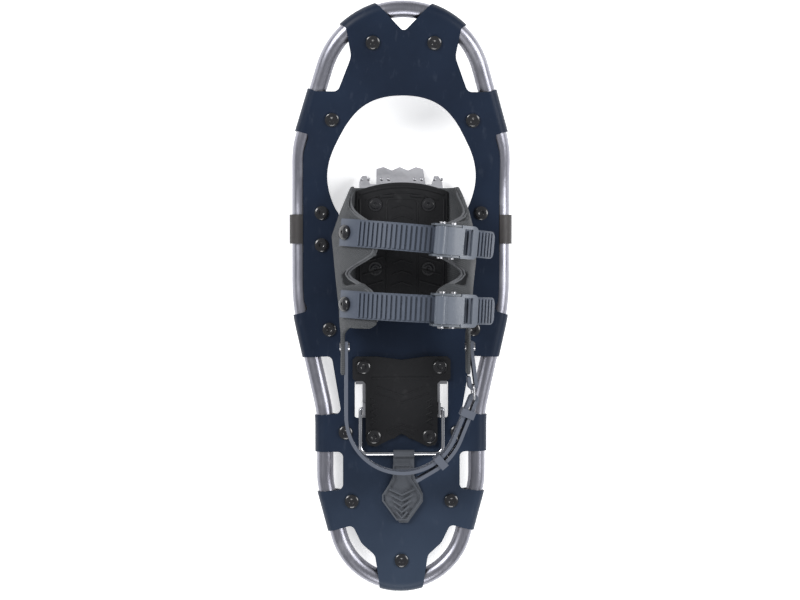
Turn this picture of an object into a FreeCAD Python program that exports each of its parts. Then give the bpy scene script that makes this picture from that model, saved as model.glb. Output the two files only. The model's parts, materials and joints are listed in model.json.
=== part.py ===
"""A snowshoe: bent tube frame, wrapped deck, heel plate with lift bail, and a hinged binding.

Lengths are in millimetres and angles in degrees. +Y points to the toe, +X to the right and
+Z up; the origin is on the ground under the middle of the frame's outline.
"""
import FreeCAD, Part
import math
import os
import Sketcher
from FreeCAD import Placement, Rotation, Vector

DOC = FreeCAD.newDocument("snowshoe")
X_AXIS, Y_AXIS, Z_AXIS = Vector(1, 0, 0), Vector(0, 1, 0), Vector(0, 0, 1)
ORIGIN = Vector(0, 0, 0)
SIDES = {"left": -1, "right": 1}

SIZES = {
    "Frame": {
        "overall_length": 533, "tube_diameter": 15, "tube_wall": 1.5, "tube_height": 22,
        "rail_half": 91.5, "waist_half": 69.3, "nose_radius": 72.5, "shoulder_radius": 87,
        "shoulder_start": 126, "waist_start": 18, "waist_radius": 192.5, "waist_angle": 12.7,
        "hip_radius": 100, "taper_radius": 70, "taper_angle": 15, "tail_radius": 58.5,
        "bend_start": 88, "bend_radius": 130, "bend_angle": 15.5, "tube_joint_gap": 0.4, "splice_angle": 24, "splice_clearance": 0.05,
    },
    "Deck": {
        "deck_thick": 1.5, "lug_gap": 0.1, "lug_flap": 32, "lug_fold": 13.5, "deck_edge_inset": 2.5,
        "hole_top": 183.8, "hole_bottom": 5, "hole_half": 66.6, "hole_rear_half": 56,
        "window_inner": 30, "window_outer": 42.4, "window_front": -73, "window_rear": -106.5,
        "rivet_head": 12.5, "rivet_head_thick": 1.6, "rivet_shank": 5, "rivet_gap": 0.1,
        "toe_rivet_x": 27.3, "toe_rivet_y": 231.5, "shoulder_rivet_x": 63.2,
        "shoulder_rivet_y": 164.8, "rail_rivet_x": 65.5, "rail_rivet_y": -26,
        "waist_rivet_x": 50.9, "waist_rivet_y": -119.7, "hip_rivet_x": 45.4,
        "hip_rivet_y": -182.4, "tail_rivet_y": -236.9,
    },
    "Pivot": {
        "pivot_y": 65, "pivot_z": 22, "rod_diameter": 8, "rod_clearance": 0.05,
        "anchor_band": 26.4, "anchor_wall": 2.4, "anchor_front": 87, "anchor_rear": 44,
        "anchor_inner": 66, "anchor_top_gap": 0.2, "anchor_bottom": 14, "anchor_bore_end": 80,
        "anchor_rivet_x": 72.5, "anchor_rivet_spread": 29, "spacer_diameter": 13,
        "bush_diameter": 12, "bush_flange": 16, "bush_flange_thick": 1.5, "end_gap": 0.3,
    },
    "Heel": {
        "plate_thick": 3.4, "plate_front": -50.6, "plate_shoulder": -72.4, "plate_rear": -132.5,
        "plate_notch": -120.8, "plate_ear_half": 44.5, "plate_half": 32.6,
        "heel_rivet_x": 34.7, "heel_rivet_y": -60, "heel_low_rivet_x": 25.2,
        "heel_low_rivet_y": -123.3, "steel_thick": 2, "claw_half": 33.2, "claw_front": -76,
        "claw_rear": -129, "tooth_depth": 13, "tooth_count": 4, "ear_width": 11, "ear_top": 39.5,
        "bail_wire": 3.6, "bail_y": -98, "bail_z": 35.1, "bail_leg": 37.4, "bail_reach": 40.8,
        "bail_corner": 7, "bail_clearance": 0.08, "tab_x": 1.9, "tab_length": 63, "tab_root": 19,
        "tab_wide": 35, "tab_tip": 8, "tab_wide_at": 40, "tab_thick": 2.6, "tab_hub": 7,
    },
    "Binding": {
        "web_bottom": 31.4, "web_half": 38, "web_front": 97, "web_rear": 10, "claw_tip": 123,
        "claw_side_tip": 114, "claw_mid_half": 21.5, "claw_side_inner": 28, "claw_root": 106,
        "claw_pitch": 15, "claw_notch": 3.5, "claw_slice": 2.6, "flange_front": 94,
        "flange_rear": 24, "flange_teeth": 5, "flange_tooth": 12, "foot_gap": 2.6,
        "foot_thick": 3.4, "foot_half": 41, "foot_front": 107, "foot_corner": 99, "foot_rear": -14,
        "land_half": 16.5, "foot_rivet_x": 24, "foot_rivet_front": 87, "foot_rivet_rear": 29,
        "pad_length": 10, "pad_gap": 0.3, "foot_sink": 1.9,
    },
    "Wings": {
        "wing_thick": 2.4, "wing_flange": 18, "wing_front": 102, "wing_rear": -64,
        "wing_left_gap": 0.9, "wing_right_gap": 3.1,
        "tail_left": 54, "tail_right": 57.5, "wing_belly": 22, "wing_trim": 44,
        "wing_tail_low": 56, "wing_tail_high": 74,
    },
    "Straps": {
        "arc_x": 11, "arc_z": 30, "strap_inner": 80.4, "strap_thick": 2.6, "strap_width": 24, "strap_corner": 6, "ring_corner": 5,
        "strap_left": 54.5, "strap_right": 56, "ridge_rise": 1.8, "ridge_width": 21,
        "ridge_start": 39, "ridge_step": 2.9, "ridge_count": 32, "ridge_angle": 1.6,
        "front_strap_y": 55.7, "front_skew": -5, "rear_strap_y": -4.7, "rear_skew": -2.9,
        "screw_angle": 49.5, "screw_head": 13, "screw_head_thick": 2.4, "screw_shank": 5,
        "base_floor": 1.8, "base_gap": 0.4, "base_wall": 1.8, "base_wall_gap": 0.3,
        "base_from": 7, "base_to": 21.5, "base_top": 95.5, "pin_radius": 92.2, "pin_angle": 11.5,
        "pin_wire": 3, "pin_head": 5.5, "pin_over": 1.6, "hub_radius": 5.9, "lever_gap": 0.3,
        "lever_thick": 2.8, "lever_floor": 93.4, "ring_from": 21.9, "ring_bar": 1.6,
        "ring_open": 28.5, "ring_to": 32, "ring_width": 28.5, "ring_wall": 3,
        "pawl_pin_angle": 18.5, "pawl_pin_radius": 89.6, "pawl_hub": 5.4, "pawl_half": 8.5,
        "pawl_wire": 2, "pawl_spring": 2.6, "base_rivet": 4, "base_rivet_spread": 14,
    },
    "Heel strap": {
        "heel_strap_z": 57, "heel_strap_tall": 16, "heel_strap_thick": 3, "heel_strap_fold": 2.8,
        "heel_front": -35, "heel_centre_y": -102, "heel_arc": 50, "heel_seat_gap": 0.3,
        "heel_turn": 158, "heel_run": 38, "tail_turn": 38, "tail_length": 18, "link_bend": 7.5,
        "link_run": 28.6, "link_return": 8, "heel_hinge_y": -40, "heel_hinge_z": 65,
        "heel_pin": 4, "buckle_wire": 2, "heel_rivet_head": 8, "heel_rivet_cap": 1.5,
        "keeper_wall": 1.4, "keeper_length": 7, "keeper_gap": 0.5, "keeper_place": 24,
        "keeper_angle": 50,
    },
}


class Size:
    """A value of the sheet, or one worked out from it, that keeps its formula."""

    def __init__(self, value, formula):
        self.value, self.formula = value, formula

    def __float__(self):
        return float(self.value)

    def __neg__(self):
        return Size(-self.value, f"(0 - {self.formula})")

    def __add__(self, other):
        return Size(self.value + float(other), f"({self.formula} + {formula(other)})")

    def __sub__(self, other):
        return Size(self.value - float(other), f"({self.formula} - {formula(other)})")

    def __mul__(self, other):
        return Size(self.value * float(other), f"({self.formula} * {formula(other)})")

    def __truediv__(self, other):
        return Size(self.value / float(other), f"({self.formula} / {formula(other)})")

    __radd__ = __add__
    __rmul__ = __mul__


def formula(number):
    return number.formula if isinstance(number, Size) else repr(float(number))


def make_sheet():
    """Write the driving sizes to the sheet and return them by name."""
    sheet = DOC.addObject("Spreadsheet::Sheet", "Sizes")
    sizes, row = {}, 1
    for group, values in SIZES.items():
        sheet.set(f"A{row}", group)
        row += 1
        for alias, value in values.items():
            sheet.set(f"A{row}", alias)
            sheet.set(f"B{row}", str(value))
            sheet.setAlias(f"B{row}", alias)
            sizes[alias] = Size(float(value), f"Sizes.{alias}")
            row += 1
    DOC.recompute()
    return sizes


S = make_sheet()
PARTS = []


# ---------------------------------------------------------------- helpers
def part(shape_object, label):
    """Name a finished sub-part and keep it for export."""
    shape_object.Label = label
    PARTS.append(shape_object)
    return shape_object


def feature(label, shape, at=None):
    """A sub-part whose shape is worked out in code from the sheet."""
    item = DOC.addObject("Part::Feature", label)
    item.Shape = shape
    if at is not None:
        item.Placement = at
    return part(item, label)


def new_body(label, at=None):
    body = DOC.addObject("PartDesign::Body", label)
    body.AllowCompound = True
    if at is not None:
        body.Placement = at
    return part(body, label)


def sketch(body, role, offset=None):
    """A sketch on one of the body's own origin planes, lifted along the plane's normal."""
    drawing = body.newObject("Sketcher::SketchObject", "Sketch")
    plane = next(item for item in body.Origin.OriginFeatures if item.Role == role)
    drawing.AttachmentSupport = [(plane, "")]
    drawing.MapMode = "FlatFace"
    if offset is not None:
        drawing.setExpression("AttachmentOffset.Base.z", formula(offset))
    return drawing


def bind(drawing, constraint, value):
    """Add a driving constraint that follows the sheet."""
    index = drawing.addConstraint(constraint)
    if isinstance(value, Size):
        drawing.setExpression(f"Constraints[{index}]", value.formula)


def place_point(drawing, geometry, end, point):
    for kind, value in zip(("DistanceX", "DistanceY"), point):
        bind(drawing, Sketcher.Constraint(kind, -1, 1, geometry, end, float(value)), value)


def polygon(drawing, points):
    """A closed outline through points given as sheet formulas."""
    corners = [Vector(float(x), float(y), 0) for x, y in points]
    first = drawing.GeometryCount
    for corner, following in zip(corners, corners[1:] + corners[:1]):
        drawing.addGeometry(Part.LineSegment(corner, following))
    for index in range(len(corners)):
        after = (index + 1) % len(corners)
        drawing.addConstraint(Sketcher.Constraint("Coincident", first + index, 2, first + after, 1))
    for index, point in enumerate(points):
        place_point(drawing, first + index, 1, point)


def mirrored(points):
    """Close a right-hand half outline with its mirror image about x = 0."""
    return list(points) + [(-x, y) for x, y in reversed(points) if abs(float(x)) > 1e-6]


def box_outline(drawing, x_low, x_high, y_low, y_high):
    polygon(drawing, [(x_low, y_low), (x_high, y_low), (x_high, y_high), (x_low, y_high)])


def circle(drawing, centre, diameter):
    index = drawing.addGeometry(Part.Circle(Vector(float(centre[0]), float(centre[1]), 0), Z_AXIS,
                                            float(diameter) / 2))
    place_point(drawing, index, 3, centre)
    bind(drawing, Sketcher.Constraint("Diameter", index, float(diameter)), diameter)


def grow(body, kind, drawing, length, symmetric=False, reverse=False):
    """A pad or pocket of the sketch, its length bound to the sheet."""
    item = body.newObject(f"PartDesign::{kind}", kind)
    item.Profile = drawing
    item.setExpression("Length", formula(length))
    if symmetric:
        item.SideType = "Symmetric"
    item.Reversed = reverse
    DOC.recompute()
    return item


def pad(body, drawing, length, **options):
    return grow(body, "Pad", drawing, length, **options)


def pocket(body, drawing, length, **options):
    before = body.Shape.Volume
    item = grow(body, "Pocket", drawing, length, **options)
    if body.Shape.Volume > before - 1e-6:
        raise ValueError(f"a pocket in {body.Label} cuts nothing")
    return item


def revolve(body, drawing, axis, forward, backward=None):
    """A revolution about the sketch's own H or V axis, turned forward and, if given, backward."""
    item = body.newObject("PartDesign::Revolution", "Revolution")
    item.Profile = drawing
    item.ReferenceAxis = (drawing, [axis])
    item.setExpression("Angle", formula(forward))
    if backward is not None:
        item.Type = "TwoAngles"
        item.setExpression("Angle2", formula(backward))
    DOC.recompute()
    return item


def at(x=0, y=0, z=0, axis=Z_AXIS, angle=0):
    return Placement(Vector(float(x), float(y), float(z)), Rotation(axis, float(angle)))


def bind_place(item, x=None, y=None, z=None, axis=None, angle=None):
    """Tie a sub-part's placement to the sheet."""
    for name, value in (("Base.x", x), ("Base.y", y), ("Base.z", z)):
        if value is not None:
            item.setExpression(f"Placement.{name}", formula(value))
    if angle is not None:
        item.Placement = Placement(item.Placement.Base, Rotation(axis, 1.0))
        item.setExpression("Placement.Rotation.Angle", formula(angle))


# ---------------------------------------------------------------- plane routes
def direction(heading):
    return Vector(math.cos(math.radians(heading)), math.sin(math.radians(heading)), 0)


def walk(start, heading, steps, offset=0.0):
    """Follow lines and tangent arcs; yields each step's edge, start point and start heading.

    A step is (length,) for a line or (radius, turn) for an arc, its turn positive to the left.
    The edges run at the given offset to the left of the route.
    """
    point = Vector(*start)
    for step in steps:
        left = direction(heading + 90)
        shifted = point + left * offset
        if len(step) == 1:
            ahead = point + direction(heading) * step[0]
            yield Part.LineSegment(shifted, ahead + left * offset).toShape(), point, heading
            point = ahead
            continue
        radius, turn = step
        sign = 1 if turn > 0 else -1
        centre = point + left * (sign * radius)
        reach = radius - sign * offset
        middle = centre - direction(heading + turn / 2 + 90) * (sign * reach)
        end = centre - direction(heading + turn + 90) * (sign * reach)
        yield Part.Arc(shifted, middle, end).toShape(), point, heading
        point = centre - direction(heading + turn + 90) * (sign * radius)
        heading += turn


def route_edges(start, heading, steps, offset=0.0):
    return [edge for edge, _, _ in walk(start, heading, steps, offset)]


def joined(first, second):
    """Close two routes that run side by side into one wire."""
    def ends(edges):
        return edges[0].firstVertex(True).Point, edges[-1].lastVertex(True).Point
    (a, b), (c, d) = ends(first), ends(second)
    links = [Part.LineSegment(a, c).toShape(), Part.LineSegment(b, d).toShape()]
    return Part.Wire(Part.__sortEdges__(first + second + links))


def band(start, heading, steps, thick):
    """The face of a strip of even thickness along a route."""
    first = route_edges(start, heading, steps, thick / 2)
    second = route_edges(start, heading, steps, -thick / 2)
    return Part.Face(joined(first, second))


def sweep(section, start, heading, steps):
    """Solids of a section carried along a route; section(point, heading) gives its face."""
    solids = []
    for (_, point, course), step in zip(walk(start, heading, steps), steps):
        face = section(point, course)
        if len(step) == 1:
            solids.append(face.extrude(direction(course) * step[0]))
            continue
        radius, turn = step
        sign = 1 if turn > 0 else -1
        centre = point + direction(course + 90) * (sign * radius)
        solids.append(face.revolve(centre, Z_AXIS * sign, abs(turn)))
    return solids


def fused(solids):
    whole = solids[0].fuse(solids[1:]) if len(solids) > 1 else solids[0]
    return whole.removeSplitter()


def mirror_x(shape):
    return shape.mirror(ORIGIN, X_AXIS)


def prism(points, low, high):
    """An upright prism through plan points; a third number rounds that corner."""
    wire = rounded_wire(points)
    face = Part.Face(wire)
    face.translate(Vector(0, 0, low))
    return face.extrude(Vector(0, 0, high - low))


def rounded_wire(points):
    edges, ends = [], []
    count = len(points)
    for index, item in enumerate(points):
        corner = Vector(item[0], item[1], 0)
        radius = item[2] if len(item) > 2 else 0
        back = Vector(points[index - 1][0], points[index - 1][1], 0) - corner
        ahead = Vector(points[(index + 1) % count][0], points[(index + 1) % count][1], 0) - corner
        back.normalize()
        ahead.normalize()
        if radius <= 0:
            ends.append((corner, corner))
            continue
        half = back.getAngle(ahead) / 2
        reach = radius / math.tan(half)
        bisector = (back + ahead).normalize()
        middle = corner + bisector * (radius / math.sin(half) - radius)
        first, last = corner + back * reach, corner + ahead * reach
        edges.append(Part.Arc(first, middle, last).toShape())
        ends.append((first, last))
    for index in range(count):
        leave, arrive = ends[index][1], ends[(index + 1) % count][0]
        if leave.distanceToPoint(arrive) > 1e-6:
            edges.append(Part.LineSegment(leave, arrive).toShape())
    return Part.Wire(Part.__sortEdges__(edges))


def sine(angle):
    return Size(math.sin(math.radians(float(angle))), f"sin({formula(angle)})")


def cosine(angle):
    return Size(math.cos(math.radians(float(angle))), f"cos({formula(angle)})")


def number(name):
    return float(S[name])


def sin_of(name):
    return math.sin(math.radians(number(name)))


def cos_of(name):
    return math.cos(math.radians(number(name)))


# ---------------------------------------------------------------- frame
TUBE_RADIUS = number("tube_diameter") / 2
DECK_LIFT = TUBE_RADIUS + number("lug_gap")
LUG_OUTER = DECK_LIFT + number("deck_thick")
BEND_END_Y = number("bend_start") + number("bend_radius") * sin_of("bend_angle")
BEND_END_Z = number("tube_height") + number("bend_radius") * (1 - cos_of("bend_angle"))
NOSE_PLANE = at(0, BEND_END_Y, BEND_END_Z, X_AXIS, S["bend_angle"])
FLAT_PLANE = at(0, 0, S["tube_height"])


def tilted(y):
    """The distance up the turned-up nose of a point with this plan y."""
    return (y - BEND_END_Y) / cos_of("bend_angle")


def nose_route():
    """The right half of the turned-up nose, from its tip down to the bend, in its own plane."""
    nose, shoulder = number("nose_radius"), number("shoulder_radius")
    tip = tilted(number("overall_length") / 2 - TUBE_RADIUS)
    low = tilted(number("shoulder_start"))
    across, along = number("rail_half") - shoulder, tip - nose - low
    reach = math.hypot(across, along)
    slope = math.degrees(math.asin((shoulder - nose) / reach) + math.atan2(across, along))
    run = math.sqrt(reach ** 2 - (shoulder - nose) ** 2)
    return (0, tip, 0), 0, [(nose, slope - 90), (run,), (shoulder, -slope), (low,)]


def rail_route():
    """The right half of the flat frame, from the bend down to the middle of the tail."""
    waist, hip = number("waist_radius"), number("hip_radius")
    taper, tail = number("taper_radius"), number("tail_radius")
    rail, narrow = number("rail_half"), number("waist_half")
    lean, close = number("waist_angle"), number("taper_angle")
    waist_run = (rail - narrow - (waist + hip) * (1 - cos_of("waist_angle"))) / sin_of("waist_angle")
    hip_end = (number("waist_start") - (waist + hip) * sin_of("waist_angle")
               - waist_run * cos_of("waist_angle"))
    taper_run = (narrow - taper * (1 - cos_of("taper_angle"))
                 - tail * cos_of("taper_angle")) / sin_of("taper_angle")
    tail_end = LUG_OUTER - number("overall_length") / 2
    taper_start = (tail_end + tail * (1 - sin_of("taper_angle")) + taper_run * cos_of("taper_angle")
                   + taper * sin_of("taper_angle"))
    steps = [(number("bend_start") - number("waist_start"),), (waist, -lean), (waist_run,),
             (hip, lean), (hip_end - taper_start,), (taper, -close), (taper_run,),
             (tail, close - 90)]
    return (rail, number("bend_start"), 0), -90, steps


def disc(radius):
    def section(point, course):
        return Part.Face(Part.Wire(Part.Circle(point, direction(course), radius).toShape()))
    return section


def along_frame(radius):
    """A round bar of this radius along the whole right half of the frame."""
    nose = [solid.copy() for solid in sweep(disc(radius), *nose_route())]
    rail = [solid.copy() for solid in sweep(disc(radius), *rail_route())]
    for solid in nose:
        solid.Placement = NOSE_PLANE.multiply(solid.Placement)
    for solid in rail:
        solid.Placement = FLAT_PLANE.multiply(solid.Placement)
    start = Vector(number("rail_half"), number("bend_start"), number("tube_height"))
    bend_centre = Vector(0, number("bend_start"), number("tube_height") + number("bend_radius"))
    face = Part.Face(Part.Wire(Part.Circle(start, Y_AXIS, radius).toShape()))
    return nose + [face.revolve(bend_centre, X_AXIS, number("bend_angle"))] + rail


def make_frame():
    """One tube bent to a closed loop, its two ends meeting at the tail over an inner splice."""
    bars = []
    for radius in (TUBE_RADIUS, TUBE_RADIUS - number("tube_wall")):
        half = fused(along_frame(radius))
        bars.append(fused([half, mirror_x(half)]))
    tube = bars[0].cut(bars[1])
    gap = number("tube_joint_gap")
    tail = -number("overall_length") / 2
    slot = Part.makeBox(gap, 4 * LUG_OUTER, 4 * LUG_OUTER,
                        Vector(-gap / 2, tail - LUG_OUTER, number("tube_height") - 2 * LUG_OUTER))
    feature("frame_tube", tube.cut(slot))
    body = new_body("tube_splice")
    drawing = sketch(body, "YZ_Plane")
    inside = S["tube_diameter"] - 2 * S["tube_wall"] - 2 * S["splice_clearance"]
    circle(drawing, (-S["tail_radius"], 0), inside)
    circle(drawing, (-S["tail_radius"], 0), inside - 2 * S["tube_wall"])
    revolve(body, drawing, "V_Axis", S["splice_angle"] / 2, S["splice_angle"] / 2)
    tail_centre = -S["overall_length"] / 2 + S["tube_diameter"] / 2 + S["lug_gap"] \
        + S["deck_thick"] + S["tail_radius"]
    bind_place(body, y=tail_centre, z=S["tube_height"])


# ---------------------------------------------------------------- deck
NOSE_RISE = S["bend_radius"] * sine(S["bend_angle"])
NOSE_RUN = cosine(S["bend_angle"])
NOSE_RIVETS = [(side_x, (S[f"{spot}_rivet_y"] - S["bend_start"] - NOSE_RISE) / NOSE_RUN)
               for spot in ("toe", "shoulder")
               for side_x in (S[f"{spot}_rivet_x"], -S[f"{spot}_rivet_x"])]
ANCHOR_RIVETS = [(side_x, S["pivot_y"] + half)
                 for side_x in (S["anchor_rivet_x"], -S["anchor_rivet_x"])
                 for half in (S["anchor_rivet_spread"] / 2, -S["anchor_rivet_spread"] / 2)]
HEEL_RIVETS = [(side_x, S[f"{spot}_rivet_y"])
               for spot in ("heel", "heel_low")
               for side_x in (S[f"{spot}_rivet_x"], -S[f"{spot}_rivet_x"])]
LUG_RIVETS = [(side_x, S[f"{spot}_rivet_y"])
              for spot in ("rail", "waist", "hip")
              for side_x in (S[f"{spot}_rivet_x"], -S[f"{spot}_rivet_x"])]
LUG_RIVETS.append((S["tail_rivet_y"] * 0, S["tail_rivet_y"]))
RAIL_RIVETS = LUG_RIVETS + ANCHOR_RIVETS + HEEL_RIVETS
DECK_UNDER = S["tube_diameter"] / 2 + S["lug_gap"]
DECK_OVER = DECK_UNDER + S["deck_thick"]
DECK_TOP = S["tube_height"] + DECK_OVER


def make_rivets(label, spots, top, bottom, plane_z=None, placement=None, head=S["rivet_head"]):
    """Flat-headed rivets: a head above, a shank through the stack and a washer below."""
    body = new_body(label, placement)
    for low, thick, width in ((top, S["rivet_head_thick"], head),
                              (bottom, top - bottom, S["rivet_shank"]),
                              (bottom - S["rivet_head_thick"], S["rivet_head_thick"],
                               head * 0.75)):
        drawing = sketch(body, "XY_Plane", low)
        for spot in spots:
            circle(drawing, spot, width)
        pad(body, drawing, thick)
    if plane_z is not None:
        bind_place(body, z=plane_z)
    return body


def make_deck_rivets():
    under_flap = DECK_UNDER - S["deck_thick"]
    make_rivets("deck_rivets_nose", NOSE_RIVETS, DECK_OVER, under_flap, placement=NOSE_PLANE)
    make_rivets("deck_rivets_rail", LUG_RIVETS, DECK_OVER, under_flap, S["tube_height"])


def lug_section(point, course):
    """The wrapped deck around the tube: over the top, round the outside and back underneath."""
    inner, outer, fold = DECK_LIFT, LUG_OUTER, number("lug_fold")
    flap = number("lug_flap")
    under = inner - number("deck_thick")
    turn = math.atan2(under, -fold) + math.acos(outer / math.hypot(fold, under))
    touch = Vector(math.cos(turn), math.sin(turn), 0)
    slope = Vector(math.sin(turn), -math.cos(turn), 0)
    lower, inside = touch * outer, touch * inner
    meet = inside + slope * ((inner - inside.y) / slope.y)
    far = Vector(math.sin(0.6), -math.cos(0.6), 0)

    def line(a, b):
        return Part.LineSegment(a, b).toShape()
    top, bottom = Vector(-flap, outer, 0), Vector(-flap, under, 0)
    knee = Vector(-fold, under, 0)
    outside = Part.Wire([line(top, Vector(0, outer, 0)),
                         Part.Arc(Vector(0, outer, 0), far * outer, lower).toShape(),
                         line(lower, knee), line(knee, bottom), line(bottom, top)])
    hollow = Part.Wire([line(meet, Vector(0, inner, 0)),
                        Part.Arc(Vector(0, inner, 0), far * inner, inside).toShape(),
                        line(inside, meet)])
    face = Part.Face(outside).cut(Part.Face(hollow)).Faces[0]
    face.rotate(ORIGIN, X_AXIS, 90)
    face.rotate(ORIGIN, Z_AXIS, course + 90)
    face.translate(point)
    return face


def lug_sleeve(route, plane, trims):
    """The wrapped section along part of the frame, kept only inside the trims' outlines."""
    sleeve = fused(sweep(lug_section, *route))
    sleeve.Placement = plane.multiply(sleeve.Placement)
    return [sleeve.common(prism(points, -5, 130)) for points in trims]


def make_deck():
    """A flexible sheet over the frame, cut out for the binding, wrapped round the tube in lugs."""
    thick, inset = number("deck_thick"), number("deck_edge_inset")
    side = number("rail_half") - inset
    nose_start, nose_head, nose_steps = nose_route()
    rail_start, rail_head, rail_steps = rail_route()
    toe_lug = [(0, 238.3, 4), (31, 269.6), (66, 262), (58, 247.4, 2), (51, 241.5, 4),
               (46.5, 222, 12), (40, 205), (0, 205)]
    shoulder_lug = [(40, 170), (57.9, 187, 5), (77.5, 187, 3), (99, 197), (105, 156), (84.5, 149.6, 3),
                    (76, 140), (40, 140)]
    rail_lug = [(40, -12), (84, -9, 4), (105, -15), (105, -52), (63.4, -50.4, 5), (40, -54)]
    waist_lug = [(30, -102), (54, -102.6, 5), (85, -104.6), (85, -137.4), (53, -137.4, 5),
                 (30, -138)]
    hip_lug = [(25, -171), (53.2, -171.5, 5), (90, -176), (80, -214), (44.6, -204.4, 5), (25, -202)]
    tail_lug = [(0, -225), (18, -225), (21.8, -247), (18.6, -270), (0, -270)]

    edge = route_edges(nose_start, nose_head, nose_steps, -inset)
    nose_face = Part.Face(joined(edge, [mirror_x(item) for item in edge]))
    nose_sheet = nose_face.extrude(Z_AXIS * thick)
    nose_sheet.translate(Z_AXIS * DECK_LIFT)
    nose_sheet.Placement = NOSE_PLANE.multiply(nose_sheet.Placement)
    edge = route_edges(rail_start, rail_head, rail_steps, -inset)
    rail_face = Part.Face(joined(edge, [mirror_x(item) for item in edge]))
    rail_sheet = rail_face.extrude(Z_AXIS * thick)
    rail_sheet.translate(Z_AXIS * (DECK_LIFT + number("tube_height")))
    start = Vector(-side, number("bend_start"), number("tube_height") + DECK_LIFT)
    strip = Part.Face(Part.makePolygon([start, start + Z_AXIS * thick,
                                        start + Z_AXIS * thick + X_AXIS * 2 * side,
                                        start + X_AXIS * 2 * side, start]))
    bend_centre = Vector(0, number("bend_start"), number("tube_height") + number("bend_radius"))
    bend_sheet = strip.revolve(bend_centre, X_AXIS, number("bend_angle"))
    sheet = fused([nose_sheet, bend_sheet, rail_sheet])

    outline = [(0, 238.3, 4), (31, 269.6), (66, 262), (58, 247.4, 2), (51, 241.5, 4),
               (46.2, 217, 14), (58, 187, 6), (77.5, 187, 3), (99, 197), (105, 156),
               (84.5, 149.6, 3), (84.5, 146), (side, 131, 6), (side, 1, 6), (84, -9, 4),
               (105, -15), (105, -52), (63.4, -50.4, 5), (54.6, -102.6, 5), (85, -104.6),
               (85, -137.4), (53.2, -137.4, 5), (53.2, -171.5, 5), (90, -176), (80, -214),
               (44.6, -204.4, 5), (36.5, -221, 14), (24.2, -232, 8), (21.8, -247, 6),
               (18.6, -270)]
    plan = outline + [(-item[0],) + item[1:] for item in reversed(outline[1:])]
    sheet = sheet.common(prism(plan, -5, 130))
    lugs = lug_sleeve(nose_route(), NOSE_PLANE, [toe_lug, shoulder_lug])
    lugs += lug_sleeve(rail_route(), FLAT_PLANE, [rail_lug, waist_lug, hip_lug, tail_lug])
    deck = fused([sheet] + lugs + [mirror_x(lug) for lug in lugs])

    hole = toe_hole()
    deck = deck.cut(hole)
    for sign in SIDES.values():
        low, high = sorted((sign * number("window_inner"), sign * number("window_outer")))
        front, rear = number("window_front"), number("window_rear")
        deck = deck.cut(prism([(low, rear, 2), (high, rear, 2), (high, front, 2), (low, front, 2)],
                              -5, 130))
    reach = number("rivet_shank") / 2 + number("rivet_gap")
    for plane, spots in ((NOSE_PLANE, NOSE_RIVETS), (FLAT_PLANE, RAIL_RIVETS)):
        for x, y in spots:
            drill = Part.makeCylinder(reach, 40, Vector(float(x), float(y), -10))
            drill.Placement = plane.multiply(drill.Placement)
            deck = deck.cut(drill)
    feature("deck", deck)


def toe_hole():
    """The opening under the binding: a smooth curve at the front, straight sides behind."""
    half, rear = number("hole_half"), number("hole_rear_half")
    top, bottom = number("hole_top"), number("hole_bottom")
    curve = Part.BSplineCurve()
    curve.interpolate(Points=[Vector(0, top, 0), Vector(38.2, 172, 0), Vector(57.7, 145, 0),
                              Vector(half, 104, 0), Vector(59, 82, 0), Vector(rear, 64, 0)],
                      InitialTangent=X_AXIS, FinalTangent=-Y_AXIS)
    right = curve.toShape()
    corner = 10
    low = [Part.LineSegment(Vector(rear, 64, 0), Vector(rear, bottom + corner, 0)).toShape(),
           Part.Arc(Vector(rear, bottom + corner, 0),
                    Vector(rear - corner * (1 - math.sqrt(0.5)), bottom + corner * (1 - math.sqrt(0.5)), 0),
                    Vector(rear - corner, bottom, 0)).toShape(),
           Part.LineSegment(Vector(rear - corner, bottom, 0), Vector(0, bottom, 0)).toShape()]
    edges = [right] + low
    wire = Part.Wire(Part.__sortEdges__(edges + [mirror_x(edge) for edge in edges]))
    face = Part.Face(wire)
    face.translate(Vector(0, 0, -5))
    return face.extrude(Vector(0, 0, 140))


# ---------------------------------------------------------------- pivot
def primitive(kind, sizes, x=0, y=0, z=0, axis=None, angle=0):
    """A Part primitive whose sizes and base point follow the sheet."""
    item = DOC.addObject(f"Part::{kind}", kind)
    for name, value in sizes.items():
        item.setExpression(name, formula(value))
    if axis is not None:
        item.Placement = at(axis=axis, angle=angle)
    for name, value in (("x", x), ("y", y), ("z", z)):
        item.setExpression(f"Placement.Base.{name}", formula(value))
    return item


def block(x_low, x_high, y_low, y_high, z_low, z_high):
    sizes = {"Length": x_high - x_low, "Width": y_high - y_low, "Height": z_high - z_low}
    return primitive("Box", sizes, x_low, y_low, z_low)


def bar_along_x(radius, x_low, x_high, y, z):
    return primitive("Cylinder", {"Radius": radius, "Height": x_high - x_low}, x_low, y, z,
                     Y_AXIS, 90)


def bar_along_y(radius, y_low, y_high, x, z):
    return primitive("Cylinder", {"Radius": radius, "Height": y_high - y_low}, x, y_low, z,
                     X_AXIS, -90)


def fuse_all(items):
    whole = DOC.addObject("Part::MultiFuse", "Fuse")
    whole.Shapes = items
    return whole


def cut_from(base, tools):
    item = DOC.addObject("Part::Cut", "Cut")
    item.Base = base
    item.Tool = fuse_all(tools) if len(tools) > 1 else tools[0]
    return item


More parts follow.
